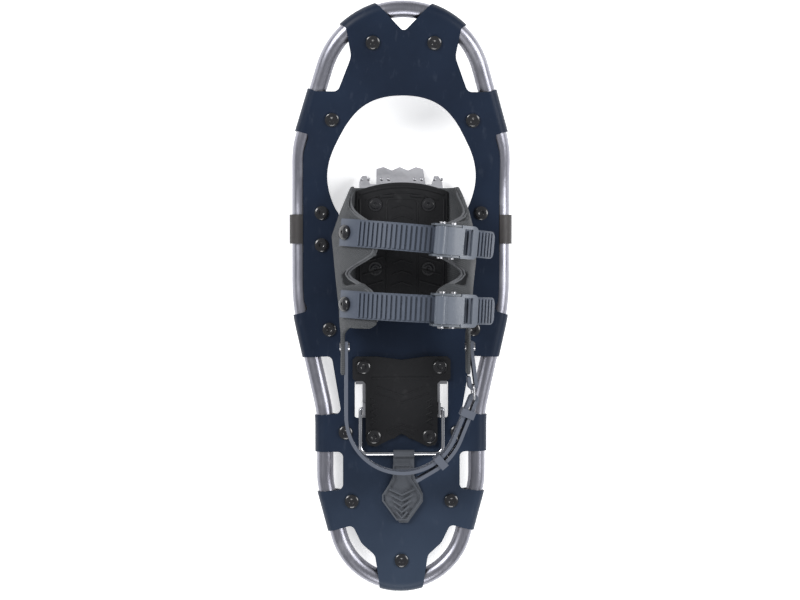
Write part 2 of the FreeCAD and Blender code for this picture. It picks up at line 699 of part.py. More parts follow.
def make_anchor(side, sign):
    """A moulded block riveted under the deck, banded round the tube, with the pivot's bore."""
    rail, inner = S["rail_half"] * sign, S["anchor_inner"] * sign
    top = S["tube_height"] + DECK_UNDER - S["anchor_top_gap"]
    band_half = S["anchor_band"] / 2
    edge = (S["rail_half"] - S["deck_edge_inset"] + 0.4) * sign
    low, high = (rail, inner) if sign < 0 else (inner, rail)
    trim_low, trim_high = (edge, inner) if sign < 0 else (inner, edge)
    ring = bar_along_y(S["tube_diameter"] / 2 + S["anchor_wall"] + S["lug_gap"],
                       S["pivot_y"] - band_half, S["pivot_y"] + band_half, rail, S["tube_height"])
    base = block(low, high, S["anchor_rear"], S["anchor_front"], S["anchor_bottom"], top)
    tools = [bar_along_y(S["tube_diameter"] / 2 + S["lug_gap"], S["anchor_rear"] - 5,
                         S["anchor_front"] + 5, rail, S["tube_height"]),
             block(trim_low - 5, trim_high, S["anchor_rear"], S["anchor_front"], top, top + 20)
             if sign > 0 else
             block(trim_low, trim_high + 5, S["anchor_rear"], S["anchor_front"], top, top + 20)]
    bore_end = S["anchor_bore_end"] * sign
    bore = (bore_end, inner + 1) if sign < 0 else (inner - 1, bore_end)
    tools.append(bar_along_x(S["rod_diameter"] / 2 + S["rod_clearance"], bore[0], bore[1],
                             S["pivot_y"], S["pivot_z"]))
    for x, y in ANCHOR_RIVETS:
        if float(x) * sign > 0:
            tools.append(primitive("Cylinder", {"Radius": S["rivet_shank"] / 2 + S["rivet_gap"],
                                                "Height": S["tube_height"] * 2}, x, y, 0))
    part(cut_from(fuse_all([ring, base]), tools), f"pivot_anchor_{side}")


def rings_on_x(body, low, high, outer, inner, y, z):
    """Two matching rings about an axis along X, one on each side."""
    for start in (low, -high):
        drawing = sketch(body, "YZ_Plane", start)
        circle(drawing, (y, z), outer)
        circle(drawing, (y, z), inner)
        pad(body, drawing, high - low)


def make_pivot():
    for side, sign in SIDES.items():
        make_anchor(side, sign)
    top = S["tube_height"] + DECK_OVER
    make_rivets("anchor_rivets", ANCHOR_RIVETS, top, S["anchor_bottom"])
    reach = S["anchor_bore_end"] - S["end_gap"]
    rod = bar_along_x(S["rod_diameter"] / 2, -reach, reach, S["pivot_y"], S["pivot_z"])
    part(rod, "pivot_rod")
    bore = S["rod_diameter"] + 2 * S["rod_clearance"]
    spacers = new_body("pivot_spacers")
    rings_on_x(spacers, S["web_half"] + S["bush_flange_thick"] + S["end_gap"],
               S["anchor_inner"] - S["end_gap"], S["spacer_diameter"], bore,
               S["pivot_y"], S["pivot_z"])
    bushes = new_body("pivot_bushes")
    rings_on_x(bushes, S["web_half"] - S["steel_thick"] - 0.5, S["web_half"], S["bush_diameter"],
               bore, S["pivot_y"], S["pivot_z"])
    rings_on_x(bushes, S["web_half"], S["web_half"] + S["bush_flange_thick"], S["bush_flange"],
               bore, S["pivot_y"], S["pivot_z"])


# ---------------------------------------------------------------- heel plate and lift bail
def teeth(low, high, root, tip, count):
    """A row of pointed teeth from y = low to y = high, hanging from root to tip."""
    pitch = (high - low) / count
    points = []
    for index in range(count):
        points.append((low + pitch * index, root))
        points.append((low + pitch * (index + 0.5), tip))
    points.append((high, root))
    return points


def side_plates(body, inner, outline, thick):
    """The same upright plate on both sides, drawn in the YZ plane."""
    for start in (inner, -inner - thick):
        drawing = sketch(body, "YZ_Plane", start)
        polygon(drawing, outline)
        pad(body, drawing, thick)


def make_heel():
    """A moulded plate over the deck, a steel channel with teeth under it, and the lift bail."""
    zero = S["bail_y"] * 0
    plate = new_body("heel_plate")
    drawing = sketch(plate, "XY_Plane", DECK_TOP)
    half, ear = S["plate_half"], S["plate_ear_half"]
    polygon(drawing, mirrored([(zero, S["plate_notch"]), (half - 9, S["plate_rear"]),
                               (half - 2, S["plate_rear"] + 1.5), (half, S["plate_rear"] + 6),
                               (half, S["plate_shoulder"] - 3), (half + 3, S["plate_shoulder"]),
                               (ear - 2, S["plate_shoulder"]), (ear, S["plate_shoulder"] + 2),
                               (ear, S["plate_front"] - 3), (ear - 3, S["plate_front"]),
                               (half - 10, S["plate_front"]), (zero, S["plate_front"] - 3)]))
    pad(plate, drawing, S["plate_thick"])
    drill(plate, HEEL_RIVETS, DECK_TOP + 20)

    claw = new_body("heel_crampon")
    under = S["tube_height"] + DECK_UNDER
    web = sketch(claw, "XY_Plane", under - S["steel_thick"])
    outer = S["claw_half"] + S["steel_thick"]
    box_outline(web, -outer, outer, S["claw_rear"], S["claw_front"])
    pad(claw, web, S["steel_thick"])
    ears = sketch(claw, "XY_Plane", under - S["steel_thick"])
    wide = S["heel_rivet_x"] + 7
    box_outline(ears, -wide, wide, S["claw_front"], S["heel_rivet_y"] + 8)
    pad(claw, ears, S["steel_thick"])
    lug = S["ear_width"] / 2
    blade = teeth(S["claw_rear"], S["claw_front"], S["tooth_depth"], zero, int(number("tooth_count")))
    blade += [(S["claw_front"], under), (S["bail_y"] + lug, under), (S["bail_y"] + lug, S["ear_top"]),
              (S["bail_y"] - lug, S["ear_top"]), (S["bail_y"] - lug, under),
              (S["claw_rear"], under)]
    side_plates(claw, S["claw_half"], blade, S["steel_thick"])
    bores = sketch(claw, "YZ_Plane")
    circle(bores, (S["bail_y"], S["bail_z"]), S["bail_wire"] + 2 * S["bail_clearance"])
    pocket(claw, bores, 4 * outer, symmetric=True)
    drill(claw, HEEL_RIVETS, DECK_TOP)
    make_rivets("heel_rivets", HEEL_RIVETS, DECK_TOP + S["plate_thick"], under - S["steel_thick"])
    make_bail()
    make_tab()


def drill(body, spots, height):
    """Rivet holes straight down through the body."""
    holes = sketch(body, "XY_Plane", height)
    for spot in spots:
        circle(holes, spot, S["rivet_shank"] + 2 * S["rivet_gap"])
    pocket(body, holes, height + 5)


def make_bail():
    """A bent wire loop whose inturned ends hinge in the heel crampon's ears."""
    leg, reach, corner = number("bail_leg"), number("bail_reach"), number("bail_corner")
    small = number("bail_wire")
    end = number("claw_half") + 0.2
    tight = small * 0.52
    half = [(leg - tight - end,), (tight, -90), (reach - corner - tight,), (corner, -90),
            (leg - corner,)]
    solids = sweep(disc(small / 2), (end, number("bail_y"), 0), 0, half)
    wire = fused(solids + [mirror_x(solid) for solid in solids])
    wire.translate(Vector(0, 0, number("bail_z")))
    feature("bail", wire)


def make_tab():
    """A rubber pull tab moulded round the bail's cross bar."""
    tab = new_body("pull_tab", at(S["tab_x"], S["bail_y"] - S["bail_reach"], S["bail_z"]))
    bind_place(tab, S["tab_x"], S["bail_y"] - S["bail_reach"], S["bail_z"])
    zero = S["tab_x"] * 0
    low = DECK_TOP + 0.4 - S["bail_z"]
    drawing = sketch(tab, "XY_Plane", low)
    root, wide, tip = S["tab_root"] / 2, S["tab_wide"] / 2, S["tab_tip"] / 2
    polygon(drawing, mirrored([(root, zero + 1), (root, -(S["tab_wide_at"] / 2)),
                               (wide, -S["tab_wide_at"] + 3), (wide, -S["tab_wide_at"] - 4),
                               (tip + 2, -S["tab_length"] + 3), (tip, -S["tab_length"])]))
    pad(tab, drawing, S["tab_thick"])
    hub = sketch(tab, "YZ_Plane")
    circle(hub, (zero, zero), S["tab_hub"])
    pad(tab, hub, S["tab_root"], symmetric=True)
    bore = sketch(tab, "YZ_Plane")
    circle(bore, (zero, zero), S["bail_wire"] + 2 * S["bail_clearance"])
    pocket(tab, bore, 2 * S["tab_wide"], symmetric=True)


# ---------------------------------------------------------------- binding base
WEB_TOP = S["web_bottom"] + S["steel_thick"]
FOOT_UNDER = WEB_TOP + S["foot_gap"]
FOOT_TOP = FOOT_UNDER + S["foot_thick"]
FOOT_RIVETS = [(side_x, S[f"foot_rivet_{spot}"]) for spot in ("front", "rear")
               for side_x in (S["foot_rivet_x"], -S["foot_rivet_x"])]


def make_toe_crampon():
    """A folded steel channel: web, toothed sides with the pivot holes, and a front claw."""
    zero = S["web_half"] * 0
    body = new_body("toe_crampon")
    web = sketch(body, "XY_Plane", S["web_bottom"])
    box_outline(web, -S["web_half"], S["web_half"], S["web_rear"], S["web_front"])
    pad(body, web, S["steel_thick"])
    claw = sketch(body, "YZ_Plane")
    polygon(claw, [(S["web_front"] - S["claw_slice"], WEB_TOP), (S["web_front"], WEB_TOP),
                   (S["claw_tip"], zero), (S["claw_tip"] - S["claw_slice"], zero)])
    pad(body, claw, 2 * S["web_half"], symmetric=True)
    pitch, notch = S["claw_pitch"], S["claw_notch"]
    side, tip = S["claw_side_tip"], S["claw_tip"]
    gaps = sketch(body, "XY_Plane", WEB_TOP + 10)
    polygon(gaps, mirrored([(zero, tip), (pitch / 2, tip - notch), (pitch, tip),
                            (S["claw_mid_half"], tip - 2), (S["claw_mid_half"] + 1, S["claw_root"]),
                            (S["claw_side_inner"], S["claw_root"]),
                            (S["claw_side_inner"] + 3, side), (S["web_half"] - 3, side),
                            (S["web_half"] + 1, S["claw_root"]), (S["web_half"] + 5, tip + 9),
                            (zero, tip + 9)]))
    pocket(body, gaps, WEB_TOP + 20)
    outline = teeth(S["flange_rear"], S["flange_front"], S["flange_tooth"], zero,
                    int(number("flange_teeth")))
    outline += [(S["flange_front"], WEB_TOP), (S["flange_rear"], WEB_TOP)]
    side_plates(body, S["web_half"] - S["steel_thick"], outline, S["steel_thick"])
    holes = sketch(body, "YZ_Plane")
    circle(holes, (S["pivot_y"], S["pivot_z"]), S["bush_diameter"] + 2 * S["rod_clearance"])
    pocket(body, holes, 4 * S["web_half"], symmetric=True)
    drill(body, FOOT_RIVETS, WEB_TOP + 5)


def lens(drawing, half, low, high):
    """A chord and the arc above it, through (0, high) and (+-half, low)."""
    rise = high - low
    radius = (half * half + rise * rise) / (rise * 2)
    arc = Part.Arc(Vector(float(half), float(low), 0), Vector(0, float(high), 0),
                   Vector(-float(half), float(low), 0))
    first = drawing.addGeometry(arc)
    chord = drawing.addGeometry(Part.LineSegment(Vector(-float(half), float(low), 0),
                                                 Vector(float(half), float(low), 0)))
    drawing.addConstraint(Sketcher.Constraint("Coincident", first, 2, chord, 1))
    drawing.addConstraint(Sketcher.Constraint("Coincident", chord, 2, first, 1))
    place_point(drawing, chord, 1, (-half, low))
    place_point(drawing, chord, 2, (half, low))
    bind(drawing, Sketcher.Constraint("Radius", first, float(radius)), radius)


def make_footplate():
    """The moulded sole the boot stands on, seated on the crampon by its middle land."""
    body = new_body("footplate")
    plan = sketch(body, "XY_Plane", FOOT_UNDER)
    box_outline(plan, -S["foot_half"], S["foot_half"], S["foot_rear"], S["foot_corner"])
    pad(body, plan, S["foot_thick"])
    front = sketch(body, "XY_Plane", FOOT_UNDER)
    lens(front, S["foot_half"], S["foot_corner"], S["foot_front"])
    pad(body, front, S["foot_thick"])
    land = sketch(body, "XY_Plane", WEB_TOP)
    box_outline(land, -S["land_half"], S["land_half"], S["foot_rear"], S["web_front"] - 6)
    pad(body, land, S["foot_gap"])
    drill(body, FOOT_RIVETS, FOOT_TOP + 5)
    sinks = sketch(body, "XY_Plane", FOOT_TOP)
    for spot in FOOT_RIVETS:
        circle(sinks, spot, S["rivet_head"] + 1)
    pocket(body, sinks, S["foot_sink"])
    make_rivets("footplate_rivets", FOOT_RIVETS, FOOT_TOP - S["foot_sink"], S["web_bottom"])
    rest = block(-S["land_half"], S["land_half"], S["foot_rear"] + 1,
                 S["foot_rear"] + 1 + S["pad_length"], DECK_TOP + S["pad_gap"], WEB_TOP)
    part(rest, "rest_pad")


# ---------------------------------------------------------------- wings
def wing_stations(side):
    """Along the foot: y, how far the wall swells out, and how much it leans in over the boot."""
    rear, tail = number("wing_rear"), number(f"tail_{side}")
    if side == "left":
        return [(number("wing_front"), 45, 1), (81, 54, 1), (58, 62, 1), (26, 59, 1), (-7, 55.5, 1),
                (-20, 55, 1), (-29, tail, 0), (rear, tail, 0)]
    return [(number("wing_front"), 49, 1), (80, 57, 1), (58, 62.5, 1), (35, 62.5, 1), (5, 60, 1),
            (-20, 58.5, 1), (-29, tail, 0), (rear, tail, 0)]


def wing_curve(side, swell, lean):
    """Middle line of the wing's wall in section, as (distance from the middle, height)."""
    base = float(FOOT_UNDER) - number("foot_gap") / 2
    gap, thick = number(f"wing_{side}_gap"), number("wing_thick")
    radius = number("strap_inner") - gap - thick / 2
    centre = number("arc_x") * (1 if side == "right" else -1)
    angles = (51, 38, 26) if side == "left" else (36, 24, 12)
    scale = min(1, swell / (55 if side == "left" else 60))
    foot = number("foot_half")
    points = [(foot + .75 * (swell - foot), base + 8), (swell, base + number("wing_belly"))]
    if not lean:
        points.insert(1, (swell - .3, base + .7 * number("wing_belly")))
    if side == "right":
        points.append((swell - 1.5 * lean, base + number("wing_belly") + 20))
    for angle in angles:
        turn = math.radians(angle)
        across = (centre + radius * math.sin(turn)) * scale
        height = number("arc_z") + radius * math.cos(turn)
        points.append((swell + lean * (across - swell), height))
    return [(foot, base)] + points


def wing_wire(side, sign, y, swell, lean):
    """The closed section of the wing's wall at one place along the foot."""
    points = wing_curve(side, swell, lean)
    half = number("wing_thick") / 2
    curves = []
    for offset in (half, -half):
        row = []
        for index, (x, z) in enumerate(points):
            before, after = points[max(index - 1, 0)], points[min(index + 1, len(points) - 1)]
            run, rise = after[0] - before[0], after[1] - before[1]
            if index == 0:
                run, rise = 1, 0
            length = math.hypot(run, rise)
            row.append(Vector(sign * (x + offset * rise / length), y, z - offset * run / length))
        curve = Part.BSplineCurve()
        curve.interpolate(row)
        curves.append(curve)
    first, second = curves
    inward = X_AXIS * (sign * (number("wing_flange") - number("foot_half")))
    low, high = first.StartPoint + inward, second.StartPoint + inward

    def line(a, b):
        return Part.LineSegment(a, b).toShape()
    return Part.Wire([line(low, first.StartPoint), first.toShape(),
                      line(first.EndPoint, second.EndPoint), second.toShape(),
                      line(second.StartPoint, high), line(high, low)])


def upright_cut(points, low, high):
    """A cutter through side-view points (y, z), running across in x."""
    corners = [Vector(low, y, z) for y, z in points]
    face = Part.Face(Part.makePolygon(corners + corners[:1]))
    return face.extrude(Vector(high - low, 0, 0))


def strap_frame(which):
    """The placement of one ratchet strap: its arc's axis, turned a little in plan."""
    return at(S["arc_x"], S[f"{which}_strap_y"], S["arc_z"], Z_AXIS, S[f"{which}_skew"])


def on_strap(which, angle):
    """The strap's placement turned so that its local Z points out at this angle."""
    return strap_frame(which).multiply(at(axis=Y_AXIS, angle=angle))


def make_wing(side, sign):
    """A padded textile side wall, clamped under the footplate and cut to its lobed shape."""
    wires = [wing_wire(side, sign, y, swell, lean) for y, swell, lean in wing_stations(side)]
    wing = Part.makeLoft(wires, True, True)
    front, rear = number("wing_front"), number("wing_rear")
    foot_rear = number("foot_rear")
    floor, trim = number("web_bottom"), number("wing_trim")
    low, high = number("wing_tail_low"), number("wing_tail_high")
    far = 2 * number("rail_half")
    edge, reach_in = {"left": (33, 25.5), "right": (35, 19)}[side]
    strap = number("front_strap_y")
    inner = [(0, front + 9), (37, front + 9), (edge, 88), (edge, strap + 13),
             (reach_in, strap + 11), (reach_in, strap - 15), (edge, strap - 17), (54.5, 25, 3), (53, 14, 3), (36, 17, 6),
             (reach_in, 5, 4), (reach_in, foot_rear - 5), (48, foot_rear - 18), (48, rear - 9),
             (0, rear - 9)]
    wing = wing.cut(prism([(sign * item[0],) + item[1:] for item in inner], trim, far))
    span = (0, sign * far)
    for points in ([(front + 9, trim - 2), (front + 9, far), (66, far), (70, 95)],
                   [(foot_rear, floor - 5), (foot_rear, trim - 6), (foot_rear - 12, low),
                    (rear - 9, low), (rear - 9, floor - 5)],
                   [(foot_rear - 8, far), (foot_rear - 8, high + 8), (foot_rear - 14, high),
                    (rear - 9, high), (rear - 9, far)]):
        wing = wing.cut(upright_cut(points, *span))
    reach = S["rivet_shank"] / 2 + S["rivet_gap"]
    for x, y in FOOT_RIVETS:
        if float(x) * sign > 0:
            wing = wing.cut(Part.makeCylinder(float(reach), 20, Vector(float(x), float(y), 28)))
    pin = Part.makeCylinder(number("heel_pin") / 2 + number("rod_clearance"), far,
                            Vector(0, number("heel_hinge_y"), number("heel_hinge_z")),
                            X_AXIS * sign)
    wing = wing.cut(pin)
    for which in ("front", "rear"):
        if side == "left":
            drill_radius = number("screw_shank") / 2 + number("rivet_gap")
            spots, angle = [0], -number("screw_angle")
        else:
            drill_radius = number("base_rivet") / 2 + number("rivet_gap")
            half = number("base_rivet_spread") / 2
            spots, angle = [half, -half], (number("base_from") + number("base_to")) / 2
        for spot in spots:
            bore = Part.makeCylinder(drill_radius, 30, Vector(0, spot, number("strap_inner") - 20))
            bore.Placement = on_strap(which, angle)
            wing = wing.cut(bore)
    feature(f"wing_{side}", wing)


# ---------------------------------------------------------------- ratchet straps and buckles
def polar(radius, angle):
    """A point at this radius, turned from local Z towards local X."""
    return radius * sine(angle), radius * cosine(angle)


def turned_sketch(body, angle):
    """A sketch on the body's YZ plane turned about the arc's axis."""
    drawing = sketch(body, "YZ_Plane")
    drawing.AttachmentOffset = at(axis=X_AXIS, angle=angle)
    return drawing


def round_end(body, angle, half, radius):
    """Round the two corners where a bent band ends, at this angle from the body's local Z."""
    for side in (1, -1):
        corner = sketch(body, "XY_Plane")
        corner.AttachmentOffset = at(axis=Y_AXIS, angle=angle)
        arc = [(radius * (sine(turn) - 1), (half + radius * (cosine(turn) - 1)) * side)
               for turn in (0, 22.5, 45, 67.5, 90)]
        polygon(corner, arc + [(radius, (half - radius) * side), (radius, (half + radius) * side),
                               (-radius, (half + radius) * side)])
        pocket(body, corner, S["strap_inner"] * 2, reverse=True)


def make_strap(which):
    """A ladder strap: a bent band with a row of ridges for the buckle's teeth."""
    outer = S["strap_inner"] + S["strap_thick"]
    body = new_body(f"strap_{which}", on_strap(which, -S["screw_angle"]))
    half = S["strap_width"] / 2
    section = sketch(body, "YZ_Plane")
    box_outline(section, -half, half, S["strap_inner"], outer)
    revolve(body, section, "H_Axis", S["screw_angle"] + S["strap_right"],
            S["strap_left"] - S["screw_angle"])
    ridge = turned_sketch(body, S["screw_angle"] - S["ridge_start"])
    half = S["ridge_width"] / 2
    box_outline(ridge, -half, half, outer - 0.2, outer + S["ridge_rise"])
    tooth = revolve(body, ridge, "H_Axis", S["ridge_angle"])
    row = body.newObject("PartDesign::PolarPattern", "Ridges")
    row.Originals = [tooth]
    row.Axis = (next(item for item in body.Origin.OriginFeatures if item.Role == "Y_Axis"), [""])
    row.setExpression("Angle", (S["ridge_step"] * (S["ridge_count"] - 1)).formula)
    row.setExpression("Occurrences", S["ridge_count"].formula)
    body.Tip = row
    DOC.recompute()
    hole = sketch(body, "XY_Plane", outer + 5)
    circle(hole, (half * 0, half * 0), S["screw_shank"] + 2 * S["rivet_gap"])
    pocket(body, hole, S["strap_thick"] + 10)
    round_end(body, S["screw_angle"] + S["strap_right"], S["strap_width"] / 2, S["strap_corner"])


def make_screws():
    """The screws and nuts that hold each strap's fixed end to the left wing."""
    for which in ("front", "rear"):
        outer = S["strap_inner"] + S["strap_thick"]
        nut = S["strap_inner"] - S["wing_left_gap"] - S["wing_thick"] - 0.6 - S["screw_head_thick"]
        body = new_body(f"strap_screw_{which}", on_strap(which, -S["screw_angle"]))
        zero = outer * 0
        for low, thick, width in ((outer + 0.05, S["screw_head_thick"], S["screw_head"]),
                                  (nut, outer + 0.05 - nut, S["screw_shank"]),
                                  (nut, S["screw_head_thick"], S["screw_head"] * 0.8)):
            drawing = sketch(body, "XY_Plane", low)
            circle(drawing, (zero, zero), width)
            pad(body, drawing, thick)


def make_buckle(which):
    """A ratchet buckle: riveted base, drive lever with a finger loop, and a sprung pawl."""
    zero = S["arc_x"] * 0
    middle = (S["base_from"] + S["base_to"]) / 2
    floor_top = S["strap_inner"] - S["base_gap"]
    inner = S["strap_width"] / 2 + S["base_wall_gap"]
    outer = inner + S["base_wall"]
    base = new_body(f"buckle_base_{which}", on_strap(which, middle))
    section = sketch(base, "YZ_Plane")
    polygon(section, [(-outer, floor_top - S["base_floor"]), (outer, floor_top - S["base_floor"]),
                      (outer, S["base_top"]), (inner, S["base_top"]), (inner, floor_top),
                      (-inner, floor_top), (-inner, S["base_top"]), (-outer, S["base_top"])])
    half_turn = (S["base_to"] - S["base_from"]) / 2
    revolve(base, section, "H_Axis", half_turn, half_turn)
    clearance = 2 * S["rod_clearance"]
    holes = sketch(base, "XZ_Plane")
    circle(holes, polar(S["pin_radius"], S["pin_angle"] - middle), S["pin_wire"] + clearance)
    circle(holes, polar(S["pawl_pin_radius"], S["pawl_pin_angle"] - middle),
           S["pawl_wire"] + clearance)
    pocket(base, holes, 4 * outer, symmetric=True)
    spots = [(zero, S["base_rivet_spread"] / 2), (zero, -S["base_rivet_spread"] / 2)]
    bores = sketch(base, "XY_Plane", floor_top + 1)
    for spot in spots:
        circle(bores, spot, S["base_rivet"] + 2 * S["rivet_gap"])
    pocket(base, bores, S["base_floor"] + 10)

    rivets = new_body(f"buckle_rivets_{which}", on_strap(which, middle))
    tail = S["strap_inner"] - S["wing_right_gap"] - S["wing_thick"] - 2.6
    for low, thick, width in ((tail, floor_top - 0.1 - tail, S["base_rivet"]),
                              (tail, zero + 1.4, S["base_rivet"] * 2)):
        drawing = sketch(rivets, "XY_Plane", low)
        for spot in spots:
            circle(drawing, spot, width)
        pad(rivets, drawing, thick)

    make_lever(which, inner, clearance)
    make_pawl(which, inner, clearance)
    pins = new_body(f"buckle_pins_{which}", strap_frame(which))
    for spot, wire, reach in ((polar(S["pin_radius"], S["pin_angle"]), S["pin_wire"], outer),
                              (polar(S["pawl_pin_radius"], S["pawl_pin_angle"]), S["pawl_wire"],
                               outer)):
        drawing = sketch(pins, "XZ_Plane")
        circle(drawing, spot, wire)
        pad(pins, drawing, 2 * (reach + 0.2), symmetric=True)
        for start in (outer + 0.1, -outer - 0.1 - S["pin_over"]):
            head = sketch(pins, "XZ_Plane", start)
            circle(head, spot, wire + S["pin_head"] - S["pin_wire"])
            pad(pins, head, S["pin_over"])


def make_lever(which, inner, clearance):
    """The drive lever: a hub on the pin, a plate between the walls and a loop for the finger."""
    zero = inner * 0
    half = inner - S["lever_gap"]
    lever = new_body(f"buckle_lever_{which}", on_strap(which, S["pin_angle"]))
    hub = sketch(lever, "XZ_Plane")
    circle(hub, (zero, S["pin_radius"]), S["hub_radius"] * 2)
    pad(lever, hub, 2 * half, symmetric=True)
    top = S["lever_floor"] + S["lever_thick"]
    plate = sketch(lever, "YZ_Plane")
    box_outline(plate, -half, half, S["lever_floor"], top)
    revolve(lever, plate, "H_Axis", S["ring_from"] + S["ring_bar"] / 2 - S["pin_angle"])
    wide, rail = S["ring_width"] / 2, S["ring_width"] / 2 - S["ring_wall"]
    bar_end = S["ring_from"] + S["ring_bar"]
    for start, end, low, high in ((S["ring_from"], bar_end, -wide, wide),
                                  (bar_end, S["ring_open"], rail, wide),
                                  (bar_end, S["ring_open"], -wide, -rail),
                                  (S["ring_open"], S["ring_to"], -wide, wide)):
        drawing = turned_sketch(lever, start - S["pin_angle"])
        box_outline(drawing, low, high, S["lever_floor"], top)
        revolve(lever, drawing, "H_Axis", end - start)
    round_end(lever, S["ring_to"] - S["pin_angle"], wide, S["ring_corner"])
    bore = sketch(lever, "XZ_Plane")
    circle(bore, (zero, S["pin_radius"]), S["pin_wire"] + clearance)
    pocket(lever, bore, 4 * wide, symmetric=True)


def make_pawl(which, inner, clearance):
    """The locking pawl under the lever, and the torsion spring beside it on the same pin."""
    pawl = new_body(f"buckle_pawl_{which}", on_strap(which, S["pawl_pin_angle"]))
    centre = S["pawl_pin_radius"]
    tip = S["strap_inner"] + S["strap_thick"] + S["ridge_rise"] + 0.4
    outline = sketch(pawl, "XZ_Plane")
    zero = centre * 0
    polygon(outline, [(zero - 4, centre - 2), (zero - 3.4, tip), (zero - 2, tip), (zero, centre - 2.2),
                      (zero + 6, centre - 0.8), (zero + 6, centre + 1.2), (zero, centre + 2),
                      (zero - 4, centre + 0.8)])
    pad(pawl, outline, 2 * S["pawl_half"], symmetric=True)
    bore = sketch(pawl, "XZ_Plane")
    circle(bore, (zero, centre), S["pawl_wire"] + clearance)
    pocket(pawl, bore, 4 * inner, symmetric=True)
    spring = new_body(f"pawl_spring_{which}", on_strap(which, S["pawl_pin_angle"]))
    coil = sketch(spring, "XZ_Plane", -(S["pawl_half"] + 0.3) - S["pawl_spring"])
    circle(coil, (zero, centre), S["pawl_hub"])
    circle(coil, (zero, centre), S["pawl_wire"] + 0.6)
    pad(spring, coil, S["pawl_spring"])


# ---------------------------------------------------------------- heel strap
def heel_side(side):
    """Middle of the strap beside the wing's tail: inside the left wing, outside the right one."""
    seat = number("wing_thick") / 2 + number("heel_seat_gap") + number("heel_strap_thick") / 2
    return SIDES[side] * number(f"tail_{side}") + seat


def heel_route():
    """The heel strap: back from the left wing, round the heel, through the buckle and back."""
    arc, fold = number("heel_arc"), number("heel_strap_fold")
    start = (heel_side("left"), number("heel_front"), 0)
    return start, -90, [(number("heel_front") - number("heel_centre_y"),),
                        (arc, number("heel_turn")), (number("heel_run"),), (fold, -180),
                        (number("heel_run"),), (arc + 2 * fold, -number("tail_turn")),
                        (number("tail_length"),)]


def link_route():
    """The short link from the right wing to the buckle's other bar."""
    start = (heel_side("right"), number("heel_front"), 0)
    return start, -90, [(8,), (20, number("link_bend")), (number("link_run"),),
                        (number("heel_strap_fold"), -180), (number("link_return"),)]


def fold_centre(route):
    """The middle of the tight turn that a strap makes round its buckle bar."""
    start, heading, steps = route
    fold = number("heel_strap_fold")
    for (_, point, course), step in zip(walk(start, heading, steps), steps):
        if len(step) == 2 and step[0] == fold:
            return point + direction(course + 90) * (fold if step[1] > 0 else -fold)
    raise ValueError("the route has no fold")


def make_heel_strap():
    """An adjustable strap round the heel, hinged to both wings on rivets."""
    low, tall = number("heel_strap_z"), number("heel_strap_tall")
    thick, wire = number("heel_strap_thick"), number("buckle_wire")
    pin_at = Vector(-100, number("heel_hinge_y"), number("heel_hinge_z"))
    bore = Part.makeCylinder(number("heel_pin") / 2 + number("rod_clearance"), 200, pin_at, X_AXIS)
    for label, route in (("heel_strap", heel_route()), ("heel_link", link_route())):
        strap = band(*route, thick).extrude(Z_AXIS * tall)
        strap.translate(Z_AXIS * low)
        feature(label, strap.cut(bore))

    near, far = fold_centre(heel_route()), fold_centre(link_route())
    length, corner = near.distanceToPoint(far), wire * 1.1
    height = tall + 2 * corner + 0.6
    steps = [(length - 2 * corner,), (corner, 90), (height - 2 * corner,), (corner, 90)] * 2
    ring = fused(sweep(disc(wire / 2), (corner, 0, 0), 0, steps))
    ring.rotate(ORIGIN, X_AXIS, 90)
    ring.rotate(ORIGIN, Z_AXIS, math.degrees(math.atan2(far.y - near.y, far.x - near.x)))
    ring.translate(near + Z_AXIS * (low + tall / 2 - height / 2))
    feature("heel_buckle", ring)

    start, heading, steps = heel_route()
    course = heading + steps[1][1]
    centre = Vector(heel_side("left") + steps[1][0], number("heel_centre_y"), 0)
    run_start = centre + direction(course - 90) * number("heel_arc")
    fold = number("heel_strap_fold")
    along = run_start + direction(course) * number("keeper_place")
    spots = [(along + direction(course - 90) * fold, course)]
    turned = -number("keeper_angle")
    spots.append((centre + direction(turned) * (number("heel_arc") + fold), turned + 90))
    gap, wall = number("keeper_gap"), number("keeper_wall")
    keepers = []
    for middle, facing in spots:
        across = 2 * fold + thick + 2 * gap
        inside = Part.makeBox(40, across, tall + 2 * gap, Vector(-20, -across / 2, -gap))
        outside = Part.makeBox(number("keeper_length"), across + 2 * wall, tall + 2 * (gap + wall),
                               Vector(-number("keeper_length") / 2, -across / 2 - wall,
                                      -gap - wall))
        keeper = outside.cut(inside)
        keeper.rotate(ORIGIN, Z_AXIS, facing)
        keeper.translate(middle + Z_AXIS * low)
        keepers.append(keeper)
    feature("strap_keepers", Part.makeCompound(keepers))
    make_heel_pins()


def make_heel_pins():
    """The two rivets that the heel strap swings on."""
    pins = new_body("heel_hinge_rivets")
    y, z = S["heel_hinge_y"], S["heel_hinge_z"]
    for side, sign in SIDES.items():
        near = S["wing_thick"] / 2 + S["rivet_gap"]
        past = S["wing_thick"] / 2 + S["heel_seat_gap"] + S["heel_strap_thick"] + S["rivet_gap"]
        inward, outward = (past, near) if side == "left" else (near, past)
        inner, outer = S[f"tail_{side}"] - inward, S[f"tail_{side}"] + outward
        cap = S["heel_rivet_cap"]
        for low, high, width in ((inner - cap, outer + cap, S["heel_pin"]),
                                 (outer, outer + cap, S["heel_rivet_head"]),
                                 (inner - cap, inner, S["heel_rivet_head"])):
            drawing = sketch(pins, "YZ_Plane", low if sign > 0 else -high)
            circle(drawing, (y, z), width)
            pad(pins, drawing, high - low)


def export():
    """Check every object and write one STEP file for each sub-part."""
    DOC.recompute()
    for item in DOC.Objects:
        if "Invalid" in item.State or "Error" in item.State:
            raise ValueError(f"{item.Label} failed: {item.State}")
    os.makedirs("parts", exist_ok=True)
    for item in PARTS:
        shape = item.Shape
        if shape.isNull() or not shape.isValid() or not shape.Solids:
            raise ValueError(f"{item.Label} has no valid solid")
        shape.exportStep(f"parts/{item.Label}.step")


